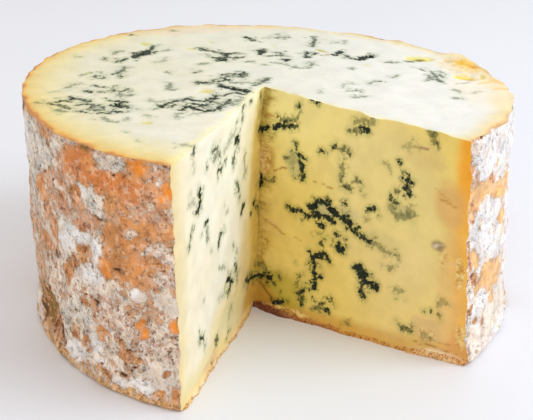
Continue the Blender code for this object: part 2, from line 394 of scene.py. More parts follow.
rightVeins = (
    (1.9, 0.95, (25.5, 96.5), (29, 96.3)),
    (1.2, 0.85, (18.6, 91.3), (20, 91.4)),
    (0.5, 0.4, (19.5, 90), (19.5, 88.5)),
    (0.6, 0.6, (10.5, 84), (14, 84.5), (18, 86)),
    (1.0, 0.95, (8, 81.8), (12, 81.5), (15.5, 81.8)),
    (0.8, 0.7, (15.5, 81.8), (19, 83.5)),
    (1.6, 0.9, (0, 79.5), (2.5, 79.5)),
    (1.0, 0.45, (47, 92), (49, 91.3), (52, 91.5), (55, 92.5), (57, 94.5)),
    (1.0, 0.6, (44, 87), (47, 87.5), (50, 88.5)),
    (1.2, 0.9, (50, 88.5), (53.5, 88.9)),
    (1.5, 0.5, (82, 95), (84, 93), (84.5, 90.5)),
    (0.8, 0.28, (70, 86), (74, 87), (77, 87)),
    (0.8, 0.7, (30, 75), (33, 76)),
    (1.1, 0.75, (36.5, 79.5), (38.5, 79)),
    (0.8, 0.6, (41, 79), (44, 78.5), (46, 78)),
    (1.1, 0.65, (18, 76), (19, 74.5)),
    (0.9, 0.6, (16, 72.5), (17, 72)),
    (0.8, 0.85, (20, 72.3), (22, 71.3), (24, 70.5)),
    (0.9, 0.6, (13.5, 69), (15, 69.3)),
    (1.1, 0.8, (21, 69), (21.3, 65), (22, 61)),
    (1.4, 0.25, (17, 71), (18, 67)),
    (0.8, 0.55, (42, 73), (42, 69), (41.5, 65.5)),
    (1.0, 0.65, (43, 63.3), (45.5, 63)),
    (0.9, 0.5, (47.5, 66), (49, 69)),
    (1.1, 0.65, (51, 67.5), (52, 66.5)),
    (0.9, 0.35, (62, 78), (63.5, 77)),
    (0.6, 0.3, (64.5, 75.5), (65, 74.5)),
    (1.0, 0.75, (68.3, 79.3), (68.7, 78.6)),
    (1.1, 0.7, (70.5, 75.5), (72, 75)),
    (1.4, 0.85, (72, 73), (73, 71.5), (74.5, 72.5)),
    (1.2, 0.75, (72, 70), (73, 68.5), (75, 67)),
    (0.9, 0.6, (67, 68), (69, 68.5)),
    (0.9, 0.7, (65.5, 64.5), (66, 62.3), (68, 62.3)),
    (1.4, 0.4, (66, 60), (67, 58), (69, 56.5), (72, 57.5), (75, 58.5), (75.5, 60.5), (72, 61)),
    (1.7, 1.0, (55.5, 56.3), (57.3, 57.8)),
    (0.7, 0.5, (53.5, 55), (55, 55.5)),
    (0.9, 0.35, (53.5, 51.8), (55, 51.5)),
    (0.5, 0.7, (43, 56.5), (45, 56.2)),
    (1.4, 1.0, (26.5, 51), (29, 51.5), (31, 53.5), (34, 54), (36, 54.5)),
    (1.0, 0.7, (34, 56.8), (35, 56)),
    (1.5, 1.0, (37, 52), (39, 50), (41, 48.5), (43, 47.5), (45, 47)),
    (0.9, 0.8, (43.5, 50), (45, 50.5)),
    (0.8, 0.8, (49, 46.5), (50.5, 47.3)),
    (1.2, 0.9, (28, 49), (31, 48), (34, 47.5), (37, 46.5), (39, 46)),
    (1.3, 0.9, (31, 46), (32, 43.8)),
    (0.8, 0.85, (15, 47.7), (17, 47), (20, 47.8), (22, 48), (24, 46.3), (27, 45.8), (31, 46.5)),
    (0.7, 0.85, (44, 46), (48, 44.8), (52, 43.7), (57, 42.3)),
    (0.6, 0.45, (57, 42.3), (63, 40.8), (70, 39.3)),
    (1.3, 0.85, (39.5, 43), (40.5, 41)),
    (1.6, 1.0, (41, 39), (41.5, 37.5), (42.5, 35), (41, 34.3)),
    (0.7, 0.4, (38, 37.5), (39, 36.5)),
    (0.8, 0.75, (31.5, 35.7), (33.5, 35.4)),
    (0.8, 0.6, (34, 37.6), (34.6, 37)),
    (0.5, 0.4, (31, 41), (31, 39.5)),
    (1.3, 0.95, (31, 29.5), (32, 31), (34, 31), (34.5, 29.8), (36, 28.2)),
    (1.0, 0.9, (26.5, 30.5), (27, 28.5), (28.5, 26.5), (30, 24.5)),
    (1.6, 1.0, (30.5, 22), (32, 21.3)),
    (1.4, 0.95, (30, 19), (30, 17), (29, 15.7)),
    (1.9, 0.95, (50.5, 28.5), (52, 30), (53, 27), (52.5, 25)),
    (0.7, 0.8, (56.5, 28.5), (57.5, 28)),
    (1.4, 1.0, (56, 23.7), (58.5, 23.7), (61, 24)),
    (1.2, 0.8, (52.5, 23), (53, 20), (54, 18)),
    (0.7, 0.4, (64.5, 33), (66.5, 35)),
    (0.8, 0.35, (68.5, 25), (71, 25)),
    (0.8, 0.35, (88, 24.5), (90, 26), (92, 25.5)),
    (0.5, 0.85, (81.5, 19.4), (82, 19.4)),
    (0.5, 0.8, (84.6, 19.5), (85, 19.5)),
    (0.8, 0.6, (88.5, 19.6), (89.5, 19.3)),
    (1.2, 0.6, (72, 9), (74.5, 10.5), (76, 8.5)),
    (0.5, 0.5, (77, 12), (77.3, 11.5)),
    (0.8, 0.3, (81, 8), (84, 9), (86, 8)),
    (1.0, 0.45, (45.8, 5.5), (47, 5.3)),
    (1.4, 0.5, (2, 20), (4, 19), (5.5, 18.5)),
    (0.7, 0.95, (0, 14.5), (2, 15), (5, 15.6), (8, 14.8)),
    (0.8, 0.7, (9.5, 14), (10.8, 13)),
    (1.0, 0.8, (13, 16.7), (14, 16.3)),
    (1.2, 1.0, (11, 5.5), (13.5, 6.2), (15.5, 7)),
    (0.7, 0.6, (22, 19.3), (23, 19)),
    (0.6, 0.5, (21.5, 16.5), (22, 15.5)),
    (1.0, 0.75, (22, 12.5), (24, 12.5), (26, 13.5)),
    (0.9, 0.75, (25, 11), (25, 8), (24.3, 6.5)),
    (0.6, 0.6, (30, 12), (30, 11)),
    (0.7, 0.6, (33, 9.5), (35, 10.5)),
    (0.8, 0.6, (31, 8.5), (34, 8.5)),
    (1.2, 0.8, (37, 7.5), (38.5, 8)),
    (0.4, 0.85, (37, 12.8), (39.5, 12.5)),
    (1.3, 0.95, (0, 58), (1, 56), (0.5, 54.5)),
    (0.5, 0.6, (2, 57), (5, 57.3), (8, 57.5)),
)

leftVeins = (
    (0.8, 0.8, (4.5, 92.5), (6, 93)),
    (1.0, 0.6, (15.5, 94.5), (19, 94.3)),
    (1.7, 0.6, (24, 96.5), (26, 94), (27, 91)),
    (0.8, 0.5, (33, 91.3), (34.5, 91.6)),
    (0.5, 0.4, (33, 88.3), (38, 88), (42, 86), (47, 84)),
    (1.7, 0.95, (28.5, 82.5), (31, 83.5), (33, 84.5)),
    (1.2, 0.6, (33, 80), (34, 78), (36, 77.5), (34, 75.5)),
    (1.0, 0.85, (43, 81), (45.5, 81)),
    (0.8, 0.8, (47.5, 79), (50, 79), (53.5, 79.5)),
    (0.8, 0.75, (54, 88), (57, 89), (62, 89.5)),
    (1.2, 0.55, (52, 85.5), (56, 86), (58.5, 84.5)),
    (0.9, 0.6, (65.5, 85), (67, 85)),
    (1.2, 0.4, (19, 74.5), (21, 73), (20.5, 70.5), (20, 68)),
    (1.0, 0.35, (19, 67), (22, 66.5)),
    (1.2, 0.6, (31, 66.5), (29, 64), (27.5, 62)),
    (1.1, 0.55, (26, 59), (27.5, 58)),
    (1.6, 0.85, (21, 53.5), (23, 52.5), (25, 51)),
    (1.3, 0.9, (6, 48), (8.5, 48.3)),
    (1.4, 0.8, (11.5, 46.5), (12.5, 46)),
    (0.8, 0.8, (0, 44), (3, 45)),
    (1.3, 0.85, (0, 80), (1.5, 78.5)),
    (1.4, 0.65, (79, 97), (80.5, 95)),
    (0.8, 0.2, (80, 93), (80, 88)),
    (1.2, 0.9, (73, 80.5), (74, 78), (74, 75), (76, 72.5), (79, 72)),
    (0.9, 0.35, (78, 75.5), (81, 77), (85, 77.5)),
    (1.0, 0.4, (83, 82), (84, 81)),
    (0.8, 0.5, (80.5, 67), (84, 67.5)),
    (1.1, 0.65, (85, 66), (86, 63), (87, 60.5)),
    (1.2, 0.8, (66, 64), (68.5, 63.5)),
    (1.4, 0.5, (67, 61), (66, 58.5), (67, 56.5)),
    (0.7, 0.35, (71, 60.5), (74, 62)),
    (1.3, 0.35, (42.5, 58.5), (44, 58.5)),
    (1.2, 0.9, (50, 52), (51.5, 50), (54, 49)),
    (0.9, 0.4, (62.5, 50), (63.5, 50.3)),
    (1.2, 0.55, (34, 40), (35.5, 41)),
    (0.8, 0.5, (30.8, 36.5), (31.5, 36.5)),
    (1.1, 0.7, (34, 33), (32, 30.5), (30.5, 28)),
    (0.9, 0.65, (41.5, 32.5), (42.5, 32.5)),
    (1.7, 0.95, (36, 26), (38.5, 27), (42, 27.5)),
    (1.2, 0.8, (37, 25), (39, 23.5), (41, 23)),
    (1.2, 0.5, (28, 26), (30, 23)),
    (0.8, 0.7, (38.3, 29.8), (38.8, 29.2)),
    (0.6, 0.25, (44, 25), (50, 25), (55, 27)),
    (0.7, 0.45, (46, 36.5), (50, 37.5), (54, 39)),
    (0.8, 1.0, (0, 14), (4, 15.5), (9, 16.2), (14, 17.5)),
    (1.1, 0.3, (70.5, 33), (71.5, 33.3)),
    (0.7, 0.9, (72.5, 18), (75.5, 19.2), (78, 20.5)),
    (0.9, 0.55, (70, 14), (71.5, 13.5)),
    (0.8, 0.5, (77.5, 18.3), (78.5, 18.6)),
    (0.5, 0.85, (52, 8.5), (54.5, 9.5), (57, 10.5)),
    (1.2, 0.3, (33, 14.5), (38, 12.5)),
    (1.0, 0.6, (37, 5), (38.3, 5.3)),
    (0.7, 0.55, (41.5, 3.5), (42.5, 3.7)),
    (0.9, 0.5, (61, 2.3), (62, 2.4)),
)


def strokeBlobs(strokes, slim, seed):
    # each stroke becomes a chain of uneven blobs with a few loose specks beside it
    draw = np.random.default_rng(seed)
    blobs = []
    for halfWidth, dark, *path in strokes:
        halfWidth *= slim
        path = np.array(path, float)
        lengths = np.linalg.norm(np.diff(path, axis=0), axis=1)
        stops = np.concatenate([[0], np.cumsum(lengths)])
        count = max(round(stops[-1] / (halfWidth * veins["step"])), 2)
        for stop in np.linspace(0, stops[-1], count):
            middle = np.array([np.interp(stop, stops, path[:, axis]) for axis in (0, 1)])
            middle += draw.normal(0, halfWidth * veins["wander"], 2)
            size = halfWidth * draw.uniform(*veins["uneven"])
            blobs.append((*middle, size, dark * draw.uniform(*veins["unevenDark"])))
            if draw.random() < veins["scatter"]:
                speck = middle + draw.normal(0, halfWidth + veins["speckDrift"], 2)
                size = draw.uniform(*veins["speckSizes"])
                blobs.append((*speck, size, dark * draw.uniform(*veins["speckDark"])))
    return np.array(blobs)


def paintVeins(surface, ids, across, up, strokes, seed):
    # the distance into the nearest blob, positive inside it, and how dark that blob is
    points = start[ids]
    across = across + lumps(points, veins["warpAcross"])
    up = up + lumps(points, veins["warpUp"])
    depth = np.full(len(ids), -veins["reach"])
    dark = np.zeros(len(ids))
    fray = np.zeros(len(ids))
    for x, y, size, tone in strokeBlobs(strokes, veins["widths"][surface], seed):
        reach = size + veins["reach"]
        near = np.nonzero((np.abs(across - x) < reach) & (np.abs(up - y) < reach))[0]
        inside = size - np.hypot(across[near] - x, up[near] - y)
        better = inside > depth[near]
        depth[near[better]] = inside[better]
        dark[near[better]] = tone
        fray[near[better]] = np.interp(size, *veins["fray"])
    marks["vein"][surface, ids] = depth
    marks["veinDark"][surface, ids] = dark
    marks["fray"][surface, ids] = fray
    return depth, dark


topDepth, topDark = paintVeins(topFace, topIds, topX, topY, topVeins, seed=3)
rightDepth, rightDark = paintVeins(rightFace, rightFlat, cutOut, rightZ, rightVeins, seed=5)
leftDepth, leftDark = paintVeins(leftFace, leftFlat, cutOut, leftZ, leftVeins, seed=7)
print("veins painted")

# paste: its colour from the core out to the rind

paste = {
    "topShadedBack": hue(229, 226, 206),  # painted light: the top pales from its shaded back left to its lit front right
    "topLitFront": hue(242, 238, 225),
    "topYellow": hue(239, 219, 142),
    # one paste on both cuts: the right cut's deeper yellow is painted shade with yellow bounce light, the
    # left cut's pale cream is painted light and sheen
    "rightCoreShaded": hue(247, 219, 116),
    "leftCoreLit": hue(253, 250, 230),
    # pale yellow: painted light high on the cut faces, and the band along the top's edges by the cuts
    "glow": hue(255, 242, 164),
    "yellow": hue(240, 208, 104),
    "orange": hue(253, 174, 44),
    "amber": hue(234, 184, 92),
    "brownEdge": hue(196, 128, 78),
    "cornerShade": hue(206, 178, 78),
    "footGlow": hue(218, 164, 66),
    "tan": hue(228, 190, 128),
    "roughness": 0.7,
    "specular": 0.3,
    "glowThrough": 0.15,  # how much light goes through the paste
    "glowRadius": (1.0, 0.7, 0.35),
    "glowScale": 0.003,  # metres
}

# spots of another colour: middle, half widths, colour, strength
topSpots = (
    ((53, 17), (2.6, 2.6), (226, 222, 170), 0.5),
    ((22, 57), (1.2, 4.0), (220, 220, 160), 0.5),
    ((-87, -17), (2.0, 2.5), (178, 186, 120), 0.5),
    ((33, 92), (12.0, 4.0), (240, 204, 150), 0.5),
    ((-19, 87), (1.2, 6.0), (240, 210, 180), 0.5),
    ((92, 8), (10.0, 16.0), (252, 232, 186), 0.55),
    ((97, -22), (7.0, 13.0), (251, 218, 146), 0.75),
    ((88, -47), (6.0, 11.0), (250, 218, 150), 0.7),
    ((88, -30), (15.0, 24.0), (249, 234, 202), 0.55),
    ((95, 6), (6.0, 9.0), (252, 204, 96), 0.55),
    ((99, -16), (3.5, 5.0), (250, 190, 108), 0.55),
    ((-8, 92), (34.0, 8.0), (238, 212, 180), 0.45),
)

spotWobble = ((1.0, 4.0), (0.6, 1.9))


def paintSpots(colours, points, across, up, spots):
    wobble = lumps(points, spotWobble)
    for (x, y), (wide, high), colour, strength in spots:
        away = np.hypot((across + wobble - x) / wide, (up - wobble - y) / high)
        colours = overlay(colours, hue(*colour), strength * smoothStep(*softEdges["spot"], away))
    return colours


# creases and cracks: half width, depth, colour, strength, point, point, ...
creases = {
    topFace: (
        (4.2, 1.0, (240, 224, 110), 0.9, (74, 25.5), (77, 24), (82, 22), (86, 20.5)),
        (2.0, 0.8, (140, 124, 30), 0.9, (77, 23.6), (80, 22.6), (83, 21.8)),
        (3.8, 1.2, (252, 224, 96), 0.9, (85, -3), (87, -7), (89.5, -10), (92, -11.5)),
        (1.9, 0.8, (176, 148, 34), 0.85, (87.5, -8.0), (89.5, -10.0), (91.5, -11.2)),
        (1.2, 0.7, (232, 200, 90), 0.9, (93, -12.5), (95.5, -10), (96.5, -6)),
        (2.4, 0.9, (250, 198, 60), 0.9, (92, 14), (96, 9), (99.5, 2)),
        (1.0, 0.6, (222, 140, 40), 0.8, (96, 10), (98.5, 6), (100, 1)),
        (0.8, 0.5, (236, 200, 120), 0.8, (89, 19), (92, 14), (94, 12)),
        (0.7, 0.4, (236, 204, 130), 0.7, (88, 10), (91, 8)),
        (0.9, 0.4, (214, 150, 96), 0.8, (90, 30), (94, 27), (97, 22)),
        (0.8, 0.3, (250, 190, 90), 0.7, (88, -19), (94, -17), (99, -15.5)),
        (1.2, 0.5, (246, 190, 92), 0.7, (92, -27), (97, -25.5), (100, -24)),
        (0.6, 0.3, (150, 130, 110), 0.6, (80, -17), (84, -16), (88, -15)),
        (2.2, 0.9, (214, 214, 100), 0.85, (-37.5, 75), (-35, 72), (-32, 70.5)),
        (1.7, 0.5, (216, 210, 120), 0.75, (-19, 61.5), (-14.5, 58.5)),
        (0.9, 0.4, (206, 198, 120), 0.7, (-6, 70), (-4, 66)),
        (2.3, 1.0, (222, 206, 118), 0.95, (-28.5, -4.2), (-24.5, -3.2), (-20.5, -3.8)),
        (0.9, 0.4, (168, 150, 62), 0.8, (-27, -4.6), (-24.5, -4.2), (-22, -4.6)),
        (1.5, 0.4, (222, 214, 120), 0.85, (-58, -38), (-53.5, -38)),
        (1.1, 0.6, (178, 184, 80), 0.85, (-69, 32), (-66, 30)),
        (1.3, 0.7, (196, 186, 60), 0.9, (39, 47), (41, 43), (42, 40)),
        (1.1, 0.6, (212, 150, 50), 0.9, (41, 39), (40, 36)),
        (0.8, 0.3, (220, 160, 100), 0.7, (28, 94), (32, 91)),
    ),
    rightFace: (
        (0.35, 0.5, (190, 134, 52), 0.9, (5, 61), (8, 62.4), (11, 63.6), (15, 65.4)),
        (0.3, 0.4, (196, 150, 62), 0.8, (27, 62.5), (30, 61.8), (33, 62), (37, 61), (40, 62)),
        # a crack: a real groove with painted shade along it, and in the next line a painted highlight on its
        # upper edge
        (0.6, 0.6, (204, 152, 66), 0.7, (1, 39.6), (4, 39), (6, 37.8), (9.5, 37), (12, 35.2), (16, 34.6)),
        (0.6, 0.2, (244, 216, 146), 0.7, (4, 40.2), (7, 39.2), (10, 38)),
        (0.4, 0.4, (190, 140, 60), 0.7, (0, 47.5), (3, 46.2), (6, 46.6)),
        (0.4, 0.4, (196, 146, 64), 0.7, (0, 31), (3, 30.6), (5.5, 29.2)),
        (0.4, 0.3, (206, 160, 84), 0.6, (18, 35.6), (21, 34.4), (23, 34.6)),
        (0.6, 0.8, (150, 106, 34), 0.85, (1, 13.5), (4, 11), (8, 7.5), (12, 4.5)),
        (0.7, 0.5, (176, 140, 44), 0.7, (0, 13), (3, 14.2), (7, 14.0)),
        (0.5, 0.4, (206, 150, 70), 0.8, (86, 69), (90, 68.2), (95, 66.5)),
        (0.4, 0.3, (214, 160, 84), 0.7, (84, 73.5), (88, 71), (93, 68)),
        (0.4, 0.3, (236, 196, 140), 0.8, (88, 43.2), (93, 42.8), (98, 43.2)),
        (0.5, 0.4, (170, 120, 80), 0.8, (76, 88), (79, 87.5), (82, 87.2)),
        (0.4, 0.3, (232, 200, 140), 0.8, (79, 88.6), (83, 88.2)),
        (0.35, 0.5, (184, 122, 66), 0.8, (74, 5.6), (80, 4.6), (86, 5.0), (93, 3.8), (98, 4.6)),
        (0.3, 0.3, (200, 142, 84), 0.7, (82, 7.9), (87, 6.9), (91, 7.6), (97, 7.0)),
        (0.5, 0.4, (176, 140, 56), 0.6, (0, 92), (4, 91.4), (7, 91)),
        (0.5, 0.4, (196, 140, 60), 0.7, (0, 84.5), (4, 84.9), (8, 84.2)),
    ),
    leftFace: (
        (0.5, 0.4, (226, 196, 120), 0.8, (0, 60), (3, 59), (6, 60)),
        (0.5, 0.5, (214, 180, 110), 0.8, (0, 42), (4, 41)),
        (0.4, 0.3, (226, 206, 150), 0.7, (20, 20), (26, 18), (33, 18.5)),
    ),
}
creaseForm = {
    "wobble": ((0.5, 3.0), (0.25, 1.4)),
    "reach": 2,  # how far round a path its crease is looked for, in half widths
    "middle": 1.1,  # its width half way along, in half widths
}
grooves = np.zeros((5, len(start)))


def creaseShare(points, across, up, halfWidth, path):
    # 1 along the path, which thins towards its ends, and 0 beside it
    path = np.array(path, float)
    lengths = np.linalg.norm(np.diff(path, axis=0), axis=1)
    stops = np.concatenate([[0], np.cumsum(lengths)]) / lengths.sum()
    share = np.zeros(len(across))
    reach = halfWidth * creaseForm["reach"]
    near = np.nonzero(
        (across > path[:, 0].min() - reach) & (across < path[:, 0].max() + reach)
        & (up > path[:, 1].min() - reach) & (up < path[:, 1].max() + reach)
    )[0]
    place = np.stack([across[near], up[near]], -1)
    for begin, end, first, last in zip(path, path[1:], stops, stops[1:]):
        way = end - begin
        along = np.clip((place - begin) @ way / (way @ way), 0, 1)
        away = np.linalg.norm(place - begin - along[:, None] * way, axis=1)
        fromMiddle = 2 * (first + along * (last - first)) - 1
        width = halfWidth * (creaseForm["middle"] - fromMiddle**2)
        share[near] = np.maximum(share[near], smoothStep(*softEdges["crease"], away / width))
    return share


def paintCreases(surface, ids, colours, across, up):
    points = start[ids]
    wobble = lumps(points, creaseForm["wobble"])
    for halfWidth, depth, colour, strength, *path in creases[surface]:
        share = creaseShare(points, across + wobble, up - wobble, halfWidth, path)
        colours = overlay(colours, hue(*colour), strength * share)
        grooves[surface, ids] = np.maximum(grooves[surface, ids], depth * share)
    return colours


topLook = {
    "mottle": ((1.0, 14.0), (0.5, 5.0)),
    "rimWander": ((1.6, 6.0), (0.7, 2.5)),
    "leftFrom": (60, -70),
    "behindFrom": (20, 90),
    # the way and span of the top's painted light, towards its lit front right
    "litFrontWay": (0.75, -0.85),
    "litFrontFrom": (-75, 80),
    "yellow": 0.2,
    "bandDepth": (6, 10),  # in these pairs, a measure on the right and what the left has on top of it
    "band": (0.72, 0.2),
    "warm": (0.175, 0.325),
    "orange": (0.18, 0.42),
    "brown": (0.5, 0.35),
    "yellowPatchy": 0.7,
    "bandLossBehind": 0.5,
    "warmDepth": 6,
    "orangeFrom": (3.0, 0.3),
    "brownFrom": (1.3, 0.2),
    "glow": 0.45,  # along the edges of the two cuts
    "glowFrom": (2.6, 0.2),
    "glowWander": ((1.2, 5.0, 2.2),),
    "glowWiderOnLeft": 0.6,
    "flapAt": (92, 6),
    "flapSize": (12, 18),
    "flapFrom": (1.2, 0.4),
    "flapCrumb": 0.47,
}


def paintTop():
    points = start[topIds]
    look = topLook
    gap = (1 - topShare) * drum["radius"]  # in from the rind
    mottle = lumps(points, look["mottle"])
    ragged = gap + lumps(points, look["rimWander"])
    inner = np.maximum(ragged, 0)
    leftness = smoothStep(*look["leftFrom"], topX)  # the band under the rind is deep on the left, thin behind
    behind = smoothStep(*look["behindFrom"], topY)
    towardsLitFront = look["litFrontWay"][0] * topX + look["litFrontWay"][1] * topY
    shares = {name: look[name][0] + look[name][1] * leftness for name in ("band", "warm", "orange", "brown")}
    colours = np.tile(paste["topShadedBack"], (len(topIds), 1))
    # painted light: the top lightens towards its lit front right
    colours = overlay(colours, paste["topLitFront"], smoothStep(*look["litFrontFrom"], towardsLitFront))
    yellow = look["yellow"] * leftness * (1 + look["yellowPatchy"] * mottle)
    colours = overlay(colours, paste["topYellow"], yellow)
    deep, more = look["bandDepth"]
    deep = deep + more * leftness * (1 - look["bandLossBehind"] * behind)
    colours = overlay(colours, paste["topYellow"], shares["band"] * np.exp(-((inner / deep) ** 2)))
    warm = np.exp(-((inner / look["warmDepth"]) ** 2))
    colours = overlay(colours, paste["amber"], shares["warm"] * warm)
    colours = overlay(colours, paste["orange"], shares["orange"] * smoothStep(*look["orangeFrom"], ragged))
    colours = overlay(colours, paste["brownEdge"], shares["brown"] * smoothStep(*look["brownFrom"], ragged))
    fromLeft = look["glowWiderOnLeft"] * (drum["leftCut"] - topAngle)
    edge = np.minimum(topAngle - drum["rightCut"], fromLeft)
    edge = np.radians(edge) * drum["radius"] * topShare + lumps(points, look["glowWander"])
    colours = overlay(colours, paste["glow"], look["glow"] * smoothStep(*look["glowFrom"], edge))
    colours = paintSpots(colours, points, topX, topY, topSpots)
    tones["tone"][topFace, topIds] = paintCreases(topFace, topIds, colours, topX, topY)
    (flapX, flapY), (wide, long) = look["flapAt"], look["flapSize"]
    flap = np.hypot((topX - flapX) / wide, (topY - flapY) / long)
    marks["crumb"][topFace, topIds] = look["flapCrumb"] * smoothStep(*look["flapFrom"], flap)


rightSpots = (
    ((64, 58), (30, 42), (236, 222, 168), 0.4),
    ((93, 28), (6, 34), (238, 172, 104), 0.45),
    ((14, 11), (13, 9), (182, 160, 24), 0.7),
    # painted shade in the hollow at the foot of the inner corner
    ((3, 7), (9, 7), (198, 146, 46), 0.75),
    ((5, 0.8), (19, 2.4), (112, 44, 32), 0.95),
    ((30, 0.8), (14, 1.6), (170, 96, 50), 0.6),
    ((89, 1.4), (13, 2.5), (252, 228, 192), 0.85),
    ((18, 68), (5, 6), (196, 196, 140), 0.5),
    ((33, 51), (6, 3.5), (190, 186, 150), 0.6),
    ((45, 52), (6, 3.5), (212, 200, 150), 0.5),
    ((60, 44), (10, 5), (206, 192, 122), 0.4),
    ((70, 59), (5, 3.5), (190, 184, 128), 0.5),
    ((87.2, 49.3), (3.2, 2.5), (140, 112, 76), 0.85),
    ((86.6, 48.8), (1.7, 1.3), (236, 214, 186), 0.9),
    ((88.6, 50.2), (0.9, 0.8), (226, 200, 170), 0.7),
    ((72, 24), (26, 24), (242, 214, 150), 0.35),
    ((42, 26), (26, 22), (228, 194, 98), 0.22),
    ((98, 8), (6, 8), (236, 168, 100), 0.5),
    ((84, 12), (7, 6), (222, 178, 128), 0.55),
    ((92, 67), (7, 10), (230, 176, 104), 0.7),
    ((3, 66), (5, 9), (200, 158, 66), 0.4),
    # painted shade along the inner corner, high up
    ((1, 88), (3, 12), (170, 148, 60), 0.5),
    ((80, 84), (10, 5), (214, 180, 120), 0.3),
)

leftSpots = (
    # painted shade with yellow bounce light, fading out from the inner corner
    ((0, 45), (26, 62), (244, 224, 150), 0.65),
    ((8, 20), (26, 26), (228, 198, 118), 0.6),
    ((42, 12), (24, 14), (242, 222, 150), 0.65),
    ((70, 3), (34, 8), (244, 224, 154), 0.6),
    ((96, 58), (7, 42), (236, 220, 176), 0.5),
    # painted shade with yellow bounce light, close along the inner corner
    ((2, 50), (12, 50), (226, 192, 84), 0.85),
    ((5, 6), (11, 8), (222, 172, 66), 0.85),
    ((2.0, 1.8), (3, 2.5), (252, 232, 172), 0.9),
    ((50, 1), (60, 4), (252, 218, 140), 0.6),
    ((62, 4), (10, 3), (230, 180, 130), 0.5),
    ((60, 0.6), (44, 1.3), (252, 232, 196), 0.7),
    ((40, 14), (12, 6), (226, 212, 156), 0.5),
    ((40, 27), (8, 5), (216, 214, 160), 0.45),
    ((27, 62), (5, 12), (224, 222, 180), 0.4),
    ((4, 90), (5, 8), (206, 190, 112), 0.6),
)


# where the paste has crumbled: middle, half widths, amount
crumbled = {
    rightFace: (
        ((2, 65), (5, 9), 0.75), ((17, 3.0), (16, 2.2), 0.9), ((0, 40), (2, 16), 0.4),
        ((0, 88), (2, 8), 0.4), ((9, 60), (6, 3), 0.5), ((90, 44), (4, 6), 0.6), ((84, 10), (7, 5), 0.6),
        ((36, 50), (9, 5), 0.5), ((34, 10), (6, 3), 0.4), ((97, 40), (2.5, 9), 0.9), ((98, 12), (3, 8), 0.8),
    ),
    leftFace: (((0, 66), (3, 10), 0.8), ((0, 30), (4, 20), 0.5), ((62, 3), (8, 2), 0.4)),
}

cuts = {
    rightFace: {
        "core": "rightCoreShaded",
        # how much painted light pales the upper cut face
        "upperPaintedLight": 0.75,
        "rimYellow": 6.0,  # how far in from the rind the yellow reaches
        "rimYellowShare": 0.8,
        "rimOrange": 1.0,
        "cornerShade": 0.7,
        "footGlow": 0.85,
        "footGlowHeight": 8.0,
        "crustAt": (0, 18, 34, 68, 84, 100),  # the crust's thickness from the tip out to the rind
        "crustThick": (2.6, 3.5, 2.2, 1.6, 3.5, 3.6),
        "tear": 1.0,
    },
    leftFace: {
        "core": "leftCoreLit",
        "upperPaintedLight": 0.15,
        "rimYellow": 9.0,
        "rimYellowShare": 0.7,
        "rimOrange": 0.05,
        "cornerShade": 0.85,
        "footGlow": 0.3,
        "footGlowHeight": 4.0,
        "crustAt": (0, 100),
        "crustThick": (1.5, 1.2),
        "tear": 0.5,
    },
}


cutLook = {  # for both cuts
    "mottle": ((1.0, 16.0, 5.1), (0.5, 6.0, 2.7)),
    "rimWander": ((1.2, 7.0), (0.5, 2.2)),
    "footWander": ((0.8, 5.0, 8.8), (0.5, 2.0, 3.1)),
    "crustWander": ((0.5, 7.0, 4.4),),
    "upperFrom": (45, 92),
    "upperFade": (80, 15),
    "tan": (0.12, 0.16),  # everywhere, and how patchy
    "cornerReach": 4.5,
    "orangeFrom": (8.5, 2.0),
    "orange": (0.6, 0.4),  # low down, and what the top has on top of it
    "orangeHigh": (40, 92),
    "footGlowFull": 1.0,
    "crustFrom": (1.3, 0.5),
    "rimCrust": 0.4,
    "rimCrustFrom": (1.4, 0.1),
    "tornFrom": (9.0, 2.0),
    "tornWander": 3,
    "tornAbove": (8, 24),
}


